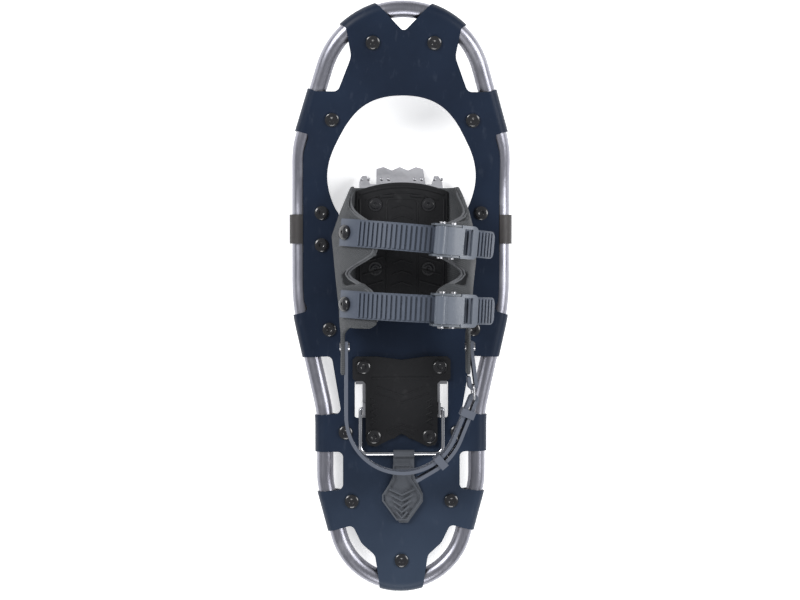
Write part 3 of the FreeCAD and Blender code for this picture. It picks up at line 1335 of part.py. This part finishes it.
make_frame()
make_deck()
make_deck_rivets()
make_pivot()
make_heel()
make_toe_crampon()
make_footplate()
for name, direction_sign in SIDES.items():
    make_wing(name, direction_sign)
for name in ("front", "rear"):
    make_strap(name)
    make_buckle(name)
make_screws()
make_heel_strap()
export()
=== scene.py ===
# %% [markdown]
# # A snowshoe, built around its CAD frame
# A snowshoe spreads a walker's weight over soft snow. This one has a bent aluminium tube, a coated
# sheet stretched inside it, steel teeth, and a binding that turns on a rod so that the heel can
# lift. The tube, the teeth and the hinges come from the CAD model, which is loaded first and never
# moved. Everything below adds what CAD leaves plain: finishes, padding, domed rivets, ribs and
# piping.

import json
import math

import bmesh
import bpy
from mathutils import Matrix, Vector, noise


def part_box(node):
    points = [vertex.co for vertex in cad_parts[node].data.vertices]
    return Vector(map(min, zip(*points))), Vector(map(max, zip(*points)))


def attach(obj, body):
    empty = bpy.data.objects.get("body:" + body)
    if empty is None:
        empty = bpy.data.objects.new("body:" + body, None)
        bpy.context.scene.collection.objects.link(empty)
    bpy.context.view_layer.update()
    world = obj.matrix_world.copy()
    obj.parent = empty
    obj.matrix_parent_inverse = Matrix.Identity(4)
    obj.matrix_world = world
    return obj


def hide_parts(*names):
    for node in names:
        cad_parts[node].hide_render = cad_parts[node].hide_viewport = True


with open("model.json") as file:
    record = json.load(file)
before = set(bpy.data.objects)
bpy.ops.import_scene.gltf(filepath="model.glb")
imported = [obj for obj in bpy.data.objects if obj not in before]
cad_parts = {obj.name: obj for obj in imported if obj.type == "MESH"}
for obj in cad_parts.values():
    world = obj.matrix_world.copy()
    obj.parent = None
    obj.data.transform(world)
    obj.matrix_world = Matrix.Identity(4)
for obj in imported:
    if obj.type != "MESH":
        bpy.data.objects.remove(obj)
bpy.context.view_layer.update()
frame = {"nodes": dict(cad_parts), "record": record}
NODES = frame["nodes"]
MM = 0.001

# %% [markdown]
# ## Shader maths as Python expressions
# A procedural material is a graph of nodes, and wiring each one by hand hides the idea behind it.
# The class below wraps a socket, so that an expression such as `1 - grain * 0.2` adds the Math
# nodes itself. Every other node comes from one method that takes its type, its settings and its
# inputs.

# %% A socket that can be used in expressions
class Wire:
    def __init__(self, finish, socket):
        self.finish, self.socket = finish, socket

    def math(self, operation, *others):
        return self.finish.node("Math", {"operation": operation}, *others)

    def __add__(self, other):
        return self.math("ADD", self, other)

    def __sub__(self, other):
        return self.math("SUBTRACT", self, other)

    def __rsub__(self, other):
        return self.math("SUBTRACT", other, self)

    def __mul__(self, other):
        return self.math("MULTIPLY", self, other)

    __radd__ = __add__
    __rmul__ = __mul__

    def absolute(self):
        return self.math("ABSOLUTE", self)

    def sine(self):
        return self.math("SINE", self)

    def between(self, low, high):
        """0 below low, 1 above high and a straight rise between them."""
        return self.finish.node("MapRange", {"clamp": True}, self, low, high, 0.0, 1.0)


# %% One material and its shader
class Finish:
    """A Principled material; what varies over the surface is given to paint()."""

    def __init__(self, name, **sockets):
        self.material = bpy.data.materials.new(name)
        self.material.use_nodes = True
        self.tree = self.material.node_tree
        self.shader = self.tree.nodes["Principled BSDF"]
        for socket, value in sockets.items():
            self.shader.inputs[socket.replace("_", " ").title().replace("Ior", "IOR")] \
                .default_value = value
        self.place = self.node("TexCoord", {}, out="Object")

    def node(self, kind, settings, *values, out=0):
        item = self.tree.nodes.new("ShaderNode" + kind)
        for setting, value in settings.items():
            setattr(item, setting, value)
        for socket, value in zip(item.inputs, values):
            if isinstance(value, Wire):
                self.tree.links.new(value.socket, socket)
            elif value is not None:
                socket.default_value = value
        return Wire(self, item.outputs[out])

    def axis(self, letter):
        index = "XYZ".index(letter)
        return self.node("SeparateXYZ", {}, self.place, out=index)

    def noise(self, scale, stretch=(1, 1, 1), detail=3.0, roughness=0.55):
        spot = self.node("Mapping", {}, self.place, None, None, stretch)
        return self.node("TexNoise", {}, spot, None, scale, detail, roughness)

    def cells(self, scale):
        return self.node("TexVoronoi", {}, self.place, None, scale, out="Distance")

    def blend(self, amount, first, second):
        """A colour between two others, each a colour or another blend."""
        item = self.tree.nodes.new("ShaderNodeMix")
        item.data_type = "RGBA"
        for name, value in (("Factor_Float", amount), ("A_Color", first), ("B_Color", second)):
            socket = next(s for s in item.inputs if s.identifier == name)
            if isinstance(value, Wire):
                self.tree.links.new(value.socket, socket)
            else:
                socket.default_value = value if isinstance(value, float) else (*value, 1)
        return Wire(self, next(s for s in item.outputs if s.identifier == "Result_Color"))

    def paint(self, height=None, depth=0.1, **sockets):
        for socket, value in sockets.items():
            target = self.shader.inputs[socket.replace("_", " ").title()]
            if isinstance(value, Wire):
                self.tree.links.new(value.socket, target)
            else:
                target.default_value = (*value, 1) if isinstance(value, tuple) else value
        if height is not None:
            bump = self.tree.nodes.new("ShaderNodeBump")
            bump.inputs["Distance"].default_value = depth * MM
            self.tree.links.new(height.socket, bump.inputs["Height"])
            self.tree.links.new(bump.outputs[0], self.shader.inputs["Normal"])
        return self


# %% [markdown]
# ## The metals
# The frame tube is drawn aluminium with a satin anodised skin. Drawing leaves fine lines along the
# tube, so its noise is squeezed across and stretched along Y. Handling adds soft scuffs that show
# as patches of a different roughness, which reads better than a change of colour.

# %% Satin tube
def tube_finish():
    skin = Finish("satin_anodised_tube", metallic=1.0)
    lines = skin.noise(60.0, (22, 1.2, 22), 4.0)
    scuffs = skin.noise(38.0, detail=5.0).between(0.52, 0.72)
    colour = skin.blend(lines, (0.20, 0.20, 0.235), (0.32, 0.32, 0.36))
    return skin.paint(height=lines, depth=0.02, base_color=skin.blend(scuffs * 0.35, colour,
                                                                     (0.46, 0.46, 0.49)),
                      roughness=0.30 + lines * 0.10 + scuffs * 0.12)


# %% Stamped crampon steel, turned rod and small fittings
def steel_finish(name, colour, rough, grain):
    metal = Finish(name, metallic=1.0)
    rolled = metal.noise(90.0, grain, 4.0)
    marks = metal.noise(55.0, detail=6.0).between(0.5, 0.75)
    dark = tuple(part * 0.62 for part in colour)
    return metal.paint(height=rolled, depth=0.03,
                       base_color=metal.blend(marks * 0.6, colour, dark),
                       roughness=rough + rolled * 0.14 + marks * 0.12)


# %% Bright wire
def chrome_finish():
    wire = Finish("polished_wire", metallic=1.0)
    haze = wire.noise(120.0, detail=4.0)
    return wire.paint(base_color=wire.blend(haze, (0.42, 0.43, 0.46), (0.60, 0.60, 0.63)),
                      roughness=0.05 + haze * 0.10, height=haze, depth=0.01)


# %% [markdown]
# ## The plastics
# Moulded plastic is never one colour to the eye: the mould's spark-eroded texture breaks up the
# gloss, and corners that are handled go a little lighter. One function makes all of them, because
# only the colour, the gloss and the size of the grain differ.

# %% Moulded plastic
def plastic_finish(name, colour, rough=0.45, grain=700.0, depth=0.05, fade=0.25, coat=0.0):
    body = Finish(name, coat_weight=coat, coat_roughness=0.12, specular_ior_level=0.28)
    pits = body.cells(grain)
    cloud = body.noise(26.0, detail=4.0)
    worn = body.noise(140.0, detail=5.0).between(0.58, 0.78)
    light = tuple(min(1.0, part * 1.5 + 0.02) for part in colour)
    tint = body.blend(cloud * fade, colour, light)
    return body.paint(height=pits, depth=depth, base_color=body.blend(worn * 0.35, tint, light),
                      roughness=rough + pits * 0.10 + worn * 0.08)


# %% [markdown]
# ## The deck sheet
# The deck is a woven core between two coats of thermoplastic. The weave shows through as a very
# fine grid, the coat is slightly glossy, and light from the snow comes through, so the narrow tail
# looks paler than the wide middle.

# %% Coated sheet
def deck_finish():
    sheet = Finish("coated_deck_sheet", coat_weight=0.02, coat_roughness=0.3,
                   specular_ior_level=0.16)
    low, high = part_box("deck")
    tail = sheet.axis("Y").between(-0.10, low.y)
    cloud = sheet.noise(14.0, detail=5.0, roughness=0.6)
    navy = sheet.blend(cloud, (0.0032, 0.0065, 0.0155), (0.0105, 0.0205, 0.0440))
    pale = sheet.blend(cloud, (0.020, 0.031, 0.052), (0.040, 0.056, 0.086))
    threads = 2 * math.pi / (1.3 * MM)
    weave = ((sheet.axis("X") * threads).sine() * (sheet.axis("Y") * threads).sine()) * 0.5 + 0.5
    scuffs = sheet.noise(190.0, (1, 0.3, 1), 4.0).between(0.6, 0.8)
    colour = sheet.blend(tail * 0.8, navy, pale)
    return sheet.paint(height=weave + scuffs * 0.8, depth=0.035,
                       base_color=sheet.blend(scuffs * 0.25, colour, (0.05, 0.062, 0.09)),
                       roughness=0.36 + cloud * 0.16 + scuffs * 0.15)


# %% Make each finish once
FINISHES = {
    "frame_tube_alloy": tube_finish(),
    "deck_sheet": deck_finish(),
    "black_rivet": plastic_finish("black_rivet_lacquer", (0.006, 0.006, 0.008), 0.22, 900.0, 0.01,
                                  coat=0.6),
    "anchor_plastic": plastic_finish("anchor_nylon", (0.034, 0.031, 0.031), 0.42, 500.0),
    "pivot_steel": steel_finish("turned_steel", (0.50, 0.50, 0.52), 0.25, (1, 30, 30)),
    "bush_plastic": plastic_finish("bush_nylon", (0.04, 0.04, 0.045), 0.4),
    "plate_plastic": plastic_finish("plate_nylon", (0.0040, 0.0042, 0.0055), 0.42, 560.0, 0.06),
    "crampon_steel": steel_finish("stamped_steel", (0.36, 0.36, 0.38), 0.24, (1, 12, 1)),
    "small_steel": steel_finish("small_fittings_steel", (0.42, 0.42, 0.44), 0.22, (6, 6, 6)),
    "padded_textile": plastic_finish("plain_wing_backing", (0.08, 0.085, 0.09), 0.6),
    "strap_plastic": plastic_finish("strap_urethane", (0.062, 0.074, 0.100), 0.36, 620.0, 0.03,
                                    coat=0.15),
    "black_screw": plastic_finish("black_screw_lacquer", (0.006, 0.006, 0.008), 0.2, 900.0, 0.01,
                                  coat=0.7),
    "buckle_plastic": plastic_finish("buckle_nylon", (0.092, 0.104, 0.122), 0.35, 560.0, coat=0.2),
    "lever_plastic": plastic_finish("lever_nylon", (0.090, 0.104, 0.130), 0.33, 560.0, coat=0.2),
    "heel_strap_plastic": plastic_finish("heel_strap_urethane", (0.085, 0.095, 0.120), 0.4, 620.0),
    "bail_chrome": chrome_finish(),
    "tab_rubber": plastic_finish("tab_rubber", (0.062, 0.068, 0.080), 0.55, 480.0, 0.05),
}
for entry in frame["record"]["subparts"]:
    node = NODES[entry["node"]]
    node.data.materials.clear()
    node.data.materials.append(FINISHES[entry["material_slot"]].material)
print("finishes:", len(FINISHES))

# %% [markdown]
# ## Floor, light and camera
# The shoe lies on a white studio floor that glows a little, so that the hole at the toe stays white
# in the shoe's own shadow. Three large soft lamps keep the shadows faint, and the camera looks
# straight down from about a metre and a half, a little to the left of the shoe.

# %% Studio
def make_floor():
    mesh = bmesh.new()
    bmesh.ops.create_grid(mesh, x_segments=2, y_segments=2, size=3)
    data = bpy.data.meshes.new("floor")
    mesh.to_mesh(data)
    mesh.free()
    floor = bpy.data.objects.new("floor", data)
    floor.location.z = -0.0005
    bpy.context.scene.collection.objects.link(floor)
    pale = Finish("studio_floor", roughness=0.9, emission_color=(1, 1, 1, 1),
                  emission_strength=0.5)
    pale.paint(base_color=pale.blend(pale.noise(3.0), (0.93, 0.93, 0.94), (0.95, 0.95, 0.955)))
    data.materials.append(pale.material)


def make_lamp(name, spot, size, power):
    lamp = bpy.data.lights.new(name, "AREA")
    lamp.shape, lamp.size, lamp.energy = "DISK", size, power
    holder = bpy.data.objects.new(name, lamp)
    holder.location = spot
    holder.rotation_euler = (-Vector(spot)).to_track_quat("-Z", "Y").to_euler()
    bpy.context.scene.collection.objects.link(holder)


def make_studio():
    make_floor()
    make_lamp("key", (-1.3, 0.9, 1.5), 0.9, 34)
    make_lamp("fill", (1.5, 0.3, 1.3), 1.0, 24)
    make_lamp("back", (0.1, -1.8, 1.3), 1.0, 18)
    world = bpy.data.worlds.new("studio")
    bpy.context.scene.world = world
    world.use_nodes = True
    sky = world.node_tree.nodes["Background"]
    sky.inputs["Color"].default_value = (0.95, 0.97, 1.0, 1)
    sky.inputs["Strength"].default_value = 0.42
    bpy.context.scene.view_settings.view_transform = "Standard"


def make_camera():
    """Straight down over the shoe, its toe at the top of the picture."""
    eye, target = Vector((-0.080, 0.040, 1.55)), Vector((-0.0013, 0.0006, 0.030))
    lens = bpy.data.cameras.new("camera")
    lens.lens = 36 * (eye - target).length / 0.727
    camera = bpy.data.objects.new("camera", lens)
    back = (eye - target).normalized()
    right = Vector((0, 1, 0)).cross(back).normalized()
    up = back.cross(right)
    camera.matrix_world = Matrix.Translation(eye) @ Matrix((right, up, back)).transposed().to_4x4()
    bpy.context.scene.collection.objects.link(camera)
    bpy.context.scene.camera = camera


make_studio()
make_camera()

# %% [markdown]
# ## Helpers for the added pieces
# Every piece is made in place, in metres, and then rides on a CAD body, so that it moves with the
# binding, the bail or the lever that it belongs to. A closed mesh has its normals turned outwards
# before it becomes an object.

# %% From a bmesh to a riding object
def keep(mesh, name, body, slot, finish=None, smooth=35.0):
    """Turn a bmesh into an object that rides on a body."""
    bmesh.ops.recalc_face_normals(mesh, faces=mesh.faces)
    data = bpy.data.meshes.new(name)
    mesh.to_mesh(data)
    mesh.free()
    data.materials.append((finish or FINISHES[slot]).material)
    piece = bpy.data.objects.new(name, data)
    bpy.context.scene.collection.objects.link(piece)
    data.shade_smooth()
    data.set_sharp_from_angle(angle=math.radians(smooth))
    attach(piece, body)
    return piece


def into(target, source):
    """Add one bmesh to another."""
    scratch = bpy.data.meshes.new("scratch")
    source.to_mesh(scratch)
    source.free()
    target.from_mesh(scratch)
    bpy.data.meshes.remove(scratch)


def tube(target, points, radius, closed=False, squash=1.0):
    """A round bead along points, its ends capped flat; squash flattens it along Z."""
    curve = bpy.data.curves.new("bead", "CURVE")
    curve.dimensions = "3D"
    curve.bevel_depth, curve.bevel_resolution = radius, 2
    curve.use_fill_caps = True
    spline = curve.splines.new("POLY")
    spline.points.add(len(points) - 1)
    for item, point in zip(spline.points, points):
        item.co = (*point, 1)
    spline.use_cyclic_u = closed
    holder = bpy.data.objects.new("bead", curve)
    bead = bmesh.new()
    bead.from_mesh(holder.to_mesh())
    bpy.data.objects.remove(holder)
    bpy.data.curves.remove(curve)
    bmesh.ops.remove_doubles(bead, verts=bead.verts, dist=0.01 * MM)
    if squash != 1.0:
        level = sum(point[2] for point in points) / len(points)
        bmesh.ops.scale(bead, verts=bead.verts, vec=(1, 1, squash),
                        space=Matrix.Translation((0, 0, -level)))
    into(target, bead)


def turned(target, outline, centre, axis, steps=32):
    """A turned shape: the outline is pairs of radius and height, its first and last on the axis."""
    lathe = bmesh.new()
    verts = [lathe.verts.new((radius * MM, 0, height * MM)) for radius, height in outline]
    edges = [lathe.edges.new(pair) for pair in zip(verts, verts[1:])]
    bmesh.ops.spin(lathe, geom=verts + edges, cent=(0, 0, 0), axis=(0, 0, 1), dvec=(0, 0, 0),
                   angle=2 * math.pi, steps=steps, use_merge=True, use_duplicate=False)
    bmesh.ops.remove_doubles(lathe, verts=lathe.verts, dist=0.005 * MM)
    tilt = Vector((0, 0, 1)).rotation_difference(Vector(axis)).to_matrix().to_4x4()
    bmesh.ops.transform(lathe, verts=lathe.verts, matrix=Matrix.Translation(centre) @ tilt)
    bmesh.ops.recalc_face_normals(lathe, faces=lathe.faces)
    into(target, lathe)


def islands(node):
    """The separate solids of a CAD node, each as its list of points."""
    mesh = bmesh.new()
    mesh.from_mesh(NODES[node].data)
    bmesh.ops.remove_doubles(mesh, verts=mesh.verts, dist=0.001 * MM)
    found, seen = [], set()
    for start in mesh.verts:
        if start in seen:
            continue
        stack, island = [start], []
        seen.add(start)
        while stack:
            vert = stack.pop()
            island.append(vert.co.copy())
            for edge in vert.link_edges:
                other = edge.other_vert(vert)
                if other not in seen:
                    seen.add(other)
                    stack.append(other)
        found.append(island)
    mesh.free()
    return found


def tops(node, axis=(0, 0, 1)):
    """The middle of each solid's end face in this direction."""
    axis, ends = Vector(axis).normalized(), []
    for island in islands(node):
        high = max(point.dot(axis) for point in island)
        face = [point for point in island if high - point.dot(axis) < 0.02 * MM]
        ends.append(sum(face, Vector()) / len(face))
    return ends


# %% [markdown]
# ## Rivets and screws
# The deck is held to its tube by flat-headed rivets with a low black cap. A cap has a crowned rim
# and a shallow dish in its middle that catches the light as a small bright ring. It is turned: an
# outline of radius and height is spun round the rivet's own axis, which leans with the nose. The
# footplate's rivets are sunk under the boot, so their caps are lower than the counterbore is deep.

# %% Caps on the deck rivets
RIVET_CAP = [(0, 0.25), (1.6, 0.28), (2.2, 0.55), (2.9, 0.80), (4.4, 0.72), (5.6, 0.42),
             (6.2, 0.0), (0, 0.0)]
SUNK_CAP = [(0, 0.08), (1.2, 0.08), (1.6, 0.28), (3.8, 0.26), (4.6, 0.0), (0, 0.0)]
NOSE_TILT = math.radians(15.5)
NOSE_UP = Vector((0, -math.sin(NOSE_TILT), math.cos(NOSE_TILT)))


def make_caps(name, nodes, axis, outline, slot, body, steps=32):
    caps = bmesh.new()
    for node in nodes:
        for spot in tops(node, axis):
            turned(caps, outline, spot, axis, steps)
    return keep(caps, name, body, slot)


make_caps("rivet_caps_nose", ["deck_rivets_nose"], NOSE_UP, RIVET_CAP, "black_rivet", "frame")
make_caps("rivet_caps_rail", ["deck_rivets_rail", "anchor_rivets", "heel_rivets"], (0, 0, 1),
          RIVET_CAP, "black_rivet", "frame")
make_caps("footplate_caps", ["footplate_rivets"], (0, 0, 1), SUNK_CAP, "black_rivet", "binding")

# %% Domed strap screws with a round recess
SCREW_ANGLE, SCREW_SKEW = -49.5, {"front": -5.0, "rear": -2.9}
SCREW_DOME = [(0, 0.9), (1.2, 0.95), (1.5, 1.75), (3.2, 1.65), (5.0, 1.1), (6.1, 0.4), (6.4, 0.0),
              (0, 0.0)]


def strap_up(skew):
    """The way out of a ratchet strap at its screw, for a strap skewed over the foot."""
    lean, turn = math.radians(SCREW_ANGLE), math.radians(skew)
    across = math.sin(lean)
    return Vector((across * math.cos(turn), across * math.sin(turn), math.cos(lean)))


for place, skew in SCREW_SKEW.items():
    make_caps(f"screw_dome_{place}", [f"strap_screw_{place}"], strap_up(skew), SCREW_DOME,
              "black_screw", "binding", 40)

# %% [markdown]
# ## Footplate and heel plate
# Both plates are moulded nylon. The mould gives them low ribs that stiffen them and grip the boot:
# a raised rim round the front of the footplate, a long panel down its middle, and chevrons on the
# heel plate. A bead that is sunk to half its height makes each rib.

# %% Beads laid flat on a moulding
def flat_beads(target, top, lines, radius, squash, closed=False):
    """A flattened bead along each line, its points in millimetres."""
    for line in lines:
        tube(target, [(x * MM, y * MM, top) for x, y in line], radius * MM, closed, squash)


# %% Ribs on the footplate
RIM_STEPS = 12


def make_footplate_ribs():
    low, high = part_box("footplate")
    top, half, front, rear = high.z, high.x / MM, high.y / MM, low.y / MM
    ribs = bmesh.new()
    reach, bow = 0.93 * half, 8
    rim = []
    for step in range(-RIM_STEPS, RIM_STEPS + 1):
        x = reach * step / RIM_STEPS
        rim.append((x, front - 4 - bow * (x / half) ** 2))
    flat_beads(ribs, top, [rim], 1.3, 0.7)
    flat_beads(ribs, top, [[(x * 0.86, y - 5) for x, y in rim]], 0.8, 0.7)
    for sign in (1, -1):
        side = sign * (half - 3)
        flat_beads(ribs, top, [[(side, front - 15), (side, 40), (side * 0.97, rear + 4)]], 1.2, 0.7)
        flat_beads(ribs, top, [[(sign * 8, 95), (sign * 20, 94)]], 1.5, 0.6)
        flat_beads(ribs, top, [[(sign * 17, 62 - 11 * row), (sign * 35, 57 - 11 * row)]
                               for row in range(7)], 0.9, 0.6)
    panel = [(-12, 92), (-14, 88), (-14, -6), (-11, -9), (11, -9), (14, -6), (14, 88), (12, 92)]
    flat_beads(ribs, top, [panel], 0.9, 0.6, closed=True)
    flat_beads(ribs, top, [[(-9, 84 - 10 * row), (0, 87 - 10 * row), (9, 84 - 10 * row)]
                           for row in range(9)], 0.8, 0.6)
    keep(ribs, "footplate_ribs", "binding", "plate_plastic")


make_footplate_ribs()


# %% Chevrons on the heel plate
def make_heel_ribs():
    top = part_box("heel_plate")[1].z
    ribs = bmesh.new()
    lines = [[(-22, -78), (0, -86), (22, -78)], [(-24, -84), (0, -92.5), (24, -84)]]
    for step in range(3):
        reach, back = 14 - 3 * step, 3.5 * step
        lines.append([(-reach, -118 - back), (0, -112 - back), (reach, -118 - back)])
    for sign in (1, -1):
        for step in range(4):
            y = -92 - 6 * step
            lines.append([(sign * 28, y + 3), (sign * 22, y), (sign * 28, y - 3)])
        lines.append([(sign * 40, -56), (sign * 40, -66)])
    flat_beads(ribs, top, lines, 0.8, 0.65)
    flat_beads(ribs, top, [[(-27, -70), (27, -70)]], 1.0, 0.6)
    keep(ribs, "heel_plate_ribs", "frame", "plate_plastic")


make_heel_ribs()


# %% Dimples on the toe crampon
DIMPLE = [(0, 0.7), (0.8, 0.6), (1.5, 0.0), (0, 0.0)]
DIMPLE_Y, DIMPLE_Z, DIMPLE_APART = 110, 33.4, 3.2


def make_dimples():
    """Small pressed bosses in pairs behind the front teeth."""
    spots = bmesh.new()
    for x in (-33, -15, 15, 33):
        for shift in (-DIMPLE_APART, DIMPLE_APART):
            turned(spots, DIMPLE, ((x + shift) * MM, DIMPLE_Y * MM, DIMPLE_Z * MM), (0, 0, 1), 16)
    keep(spots, "crampon_dimples", "binding", "crampon_steel")


make_dimples()

# %% [markdown]
# ## The padded wings
# Each wing is a soft wall of laminated textile over foam, with corded piping sewn along its inner
# edge. The CAD wall is already the right shape, so a copy of it is remeshed into small even faces,
# smoothed and pushed out along its normals, further on its upper part and with a soft ripple. The
# weave is too fine to model, so the material makes it, and the piping is a pair of real beads.

# %% Laminated textile
def textile_finish():
    cloth = Finish("laminated_textile", sheen_weight=0.08, sheen_roughness=0.5)
    x, y, z = (cloth.axis(letter) for letter in "XYZ")
    pitch = 2 * math.pi / (3.4 * MM)
    lozenge = ((y + z * 0.8) * pitch).sine().absolute() * ((y - z * 0.8) * pitch).sine().absolute()
    threads = 2 * math.pi / (0.7 * MM)
    weave = ((y * threads).sine() * ((z + x * 0.5) * threads).sine()) * 0.5 + 0.5
    cloud = cloth.noise(22.0, detail=5.0)
    worn = cloth.noise(75.0, detail=6.0).between(0.55, 0.75)
    base = cloth.blend(cloud, (0.018, 0.020, 0.023), (0.036, 0.039, 0.043))
    # Painted shade: seams painted darker, puffs lighter, following the quilt relief.
    quilt_shaded = cloth.blend(lozenge * 0.45, base, (0.075, 0.080, 0.087))
    return cloth.paint(height=lozenge * 0.7 + weave * 0.3, depth=0.22,
                       base_color=cloth.blend(worn * 0.3, quilt_shaded, (0.085, 0.086, 0.09)),
                       roughness=0.62 + weave * 0.12 + worn * 0.1)


TEXTILE = textile_finish()
PIPING = plastic_finish("wing_piping", (0.085, 0.088, 0.095), 0.5, 900.0, 0.03)


# %% Copy, remesh and pad the wall
def remeshed(node, voxel, name):
    """An even-faced copy of a CAD node."""
    mesh = bmesh.new()
    mesh.from_mesh(NODES[node].data)
    bmesh.ops.remove_doubles(mesh, verts=mesh.verts, dist=0.001 * MM)
    data = bpy.data.meshes.new(name)
    mesh.to_mesh(data)
    mesh.free()
    source = bpy.data.objects.new(name, data)
    bpy.context.scene.collection.objects.link(source)
    grid = source.modifiers.new("grid", "REMESH")
    grid.mode, grid.voxel_size = "VOXEL", voxel
    shaped = bpy.data.meshes.new_from_object(
        source.evaluated_get(bpy.context.evaluated_depsgraph_get()))
    bpy.data.objects.remove(source)
    mesh = bmesh.new()
    mesh.from_mesh(shaped)
    bpy.data.meshes.remove(shaped)
    return mesh


def inner_edge(points, low_y, high_y):
    """Along the foot, the wall's edge nearest the middle, above the piping's floor."""
    line = []
    y = low_y
    while y <= high_y:
        near = [p for p in points if abs(p.y - y) < 0.6 * EDGE_STEP and p.z > PIPING_FLOOR]
        if near:
            line.append(min(near, key=lambda p: abs(p.x)))
        y += EDGE_STEP
    return line


def evened(line, passes=3):
    for _ in range(passes):
        middle = [(a + 2 * b + c) / 4 for a, b, c in zip(line, line[1:], line[2:])]
        line = [line[0]] + middle + [line[-1]]
    return line


# %% Pad each wall and lay its piping
VOXEL, PAD, BASE_PAD = 1.0 * MM, 0.55 * MM, 0.1 * MM
WAVE, PAD_FLOOR = 0.45 * MM, 44 * MM
PIPING_FLOOR, PIPING_REAR, EDGE_STEP = 52 * MM, -18 * MM, 3 * MM


def make_wing(side, sign):
    node = f"wing_{side}"
    mesh = remeshed(node, VOXEL, node)
    for _ in range(4):
        bmesh.ops.smooth_vert(mesh, verts=mesh.verts, factor=0.5, use_axis_x=True, use_axis_y=True,
                              use_axis_z=True)
    mesh.normal_update()
    for vert in mesh.verts:
        wave = noise.noise(vert.co * 55) * 0.5 + noise.noise(vert.co * 140) * 0.2
        lift = PAD if vert.co.z > PAD_FLOOR else BASE_PAD
        vert.co += vert.normal * (lift + wave * WAVE)
    points = [vert.co.copy() for vert in mesh.verts]
    piece = keep(mesh, f"wing_{side}_pad", "binding", "padded_textile", TEXTILE, smooth=80)
    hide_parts(node)
    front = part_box(node)[1].y - EDGE_STEP
    line = evened(inner_edge(points, PIPING_REAR, front))
    inner_shift = Vector((sign * 2.6 * MM, 0, 0.2 * MM))
    seams = bmesh.new()
    tube(seams, line, 1.25 * MM)
    tube(seams, [point + inner_shift for point in line], 0.9 * MM)
    keep(seams, f"wing_{side}_piping", "binding", "padded_textile", PIPING)
    print(node, "verts", len(points), "edge points", len(line))


for side, sign in (("left", -1), ("right", 1)):
    make_wing(side, sign)

# %% [markdown]
# ## The pull tab
# The tab is moulded rubber with a raised rim and a stack of chevrons that give the thumb a grip. It
# hangs from the bail's crossbar. The rim and the chevrons are beads sunk into its face.

# %% Rim and chevrons
TAB_FACE = 5.1


def make_tab_grip():
    low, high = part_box("pull_tab")
    hub, tip, side = high.y / MM, low.y / MM, high.x / MM - 2.2
    half_rim = [(7.5, hub - 14), (7.5, hub - 26), (side, hub - 41), (side, hub - 46),
                (4.5, tip + 3)]
    rim = [(-x, y) for x, y in half_rim] + half_rim[::-1]
    grip = bmesh.new()
    flat_beads(grip, low.z + TAB_FACE * MM, [rim], 0.8, 0.7, closed=True)
    chevrons = []
    for row in range(5):
        y, reach = hub - 38 - 5.2 * row, 11.5 - 1.6 * row
        chevrons.append([(-reach, y + 2.4), (0, y - 3), (reach, y + 2.4)])
    flat_beads(grip, low.z + TAB_FACE * MM, chevrons, 1.0, 0.7)
    print("pull tab length in mm:", hub - tip)
    keep(grip, "tab_grip", "tab", "tab_rubber")


make_tab_grip()
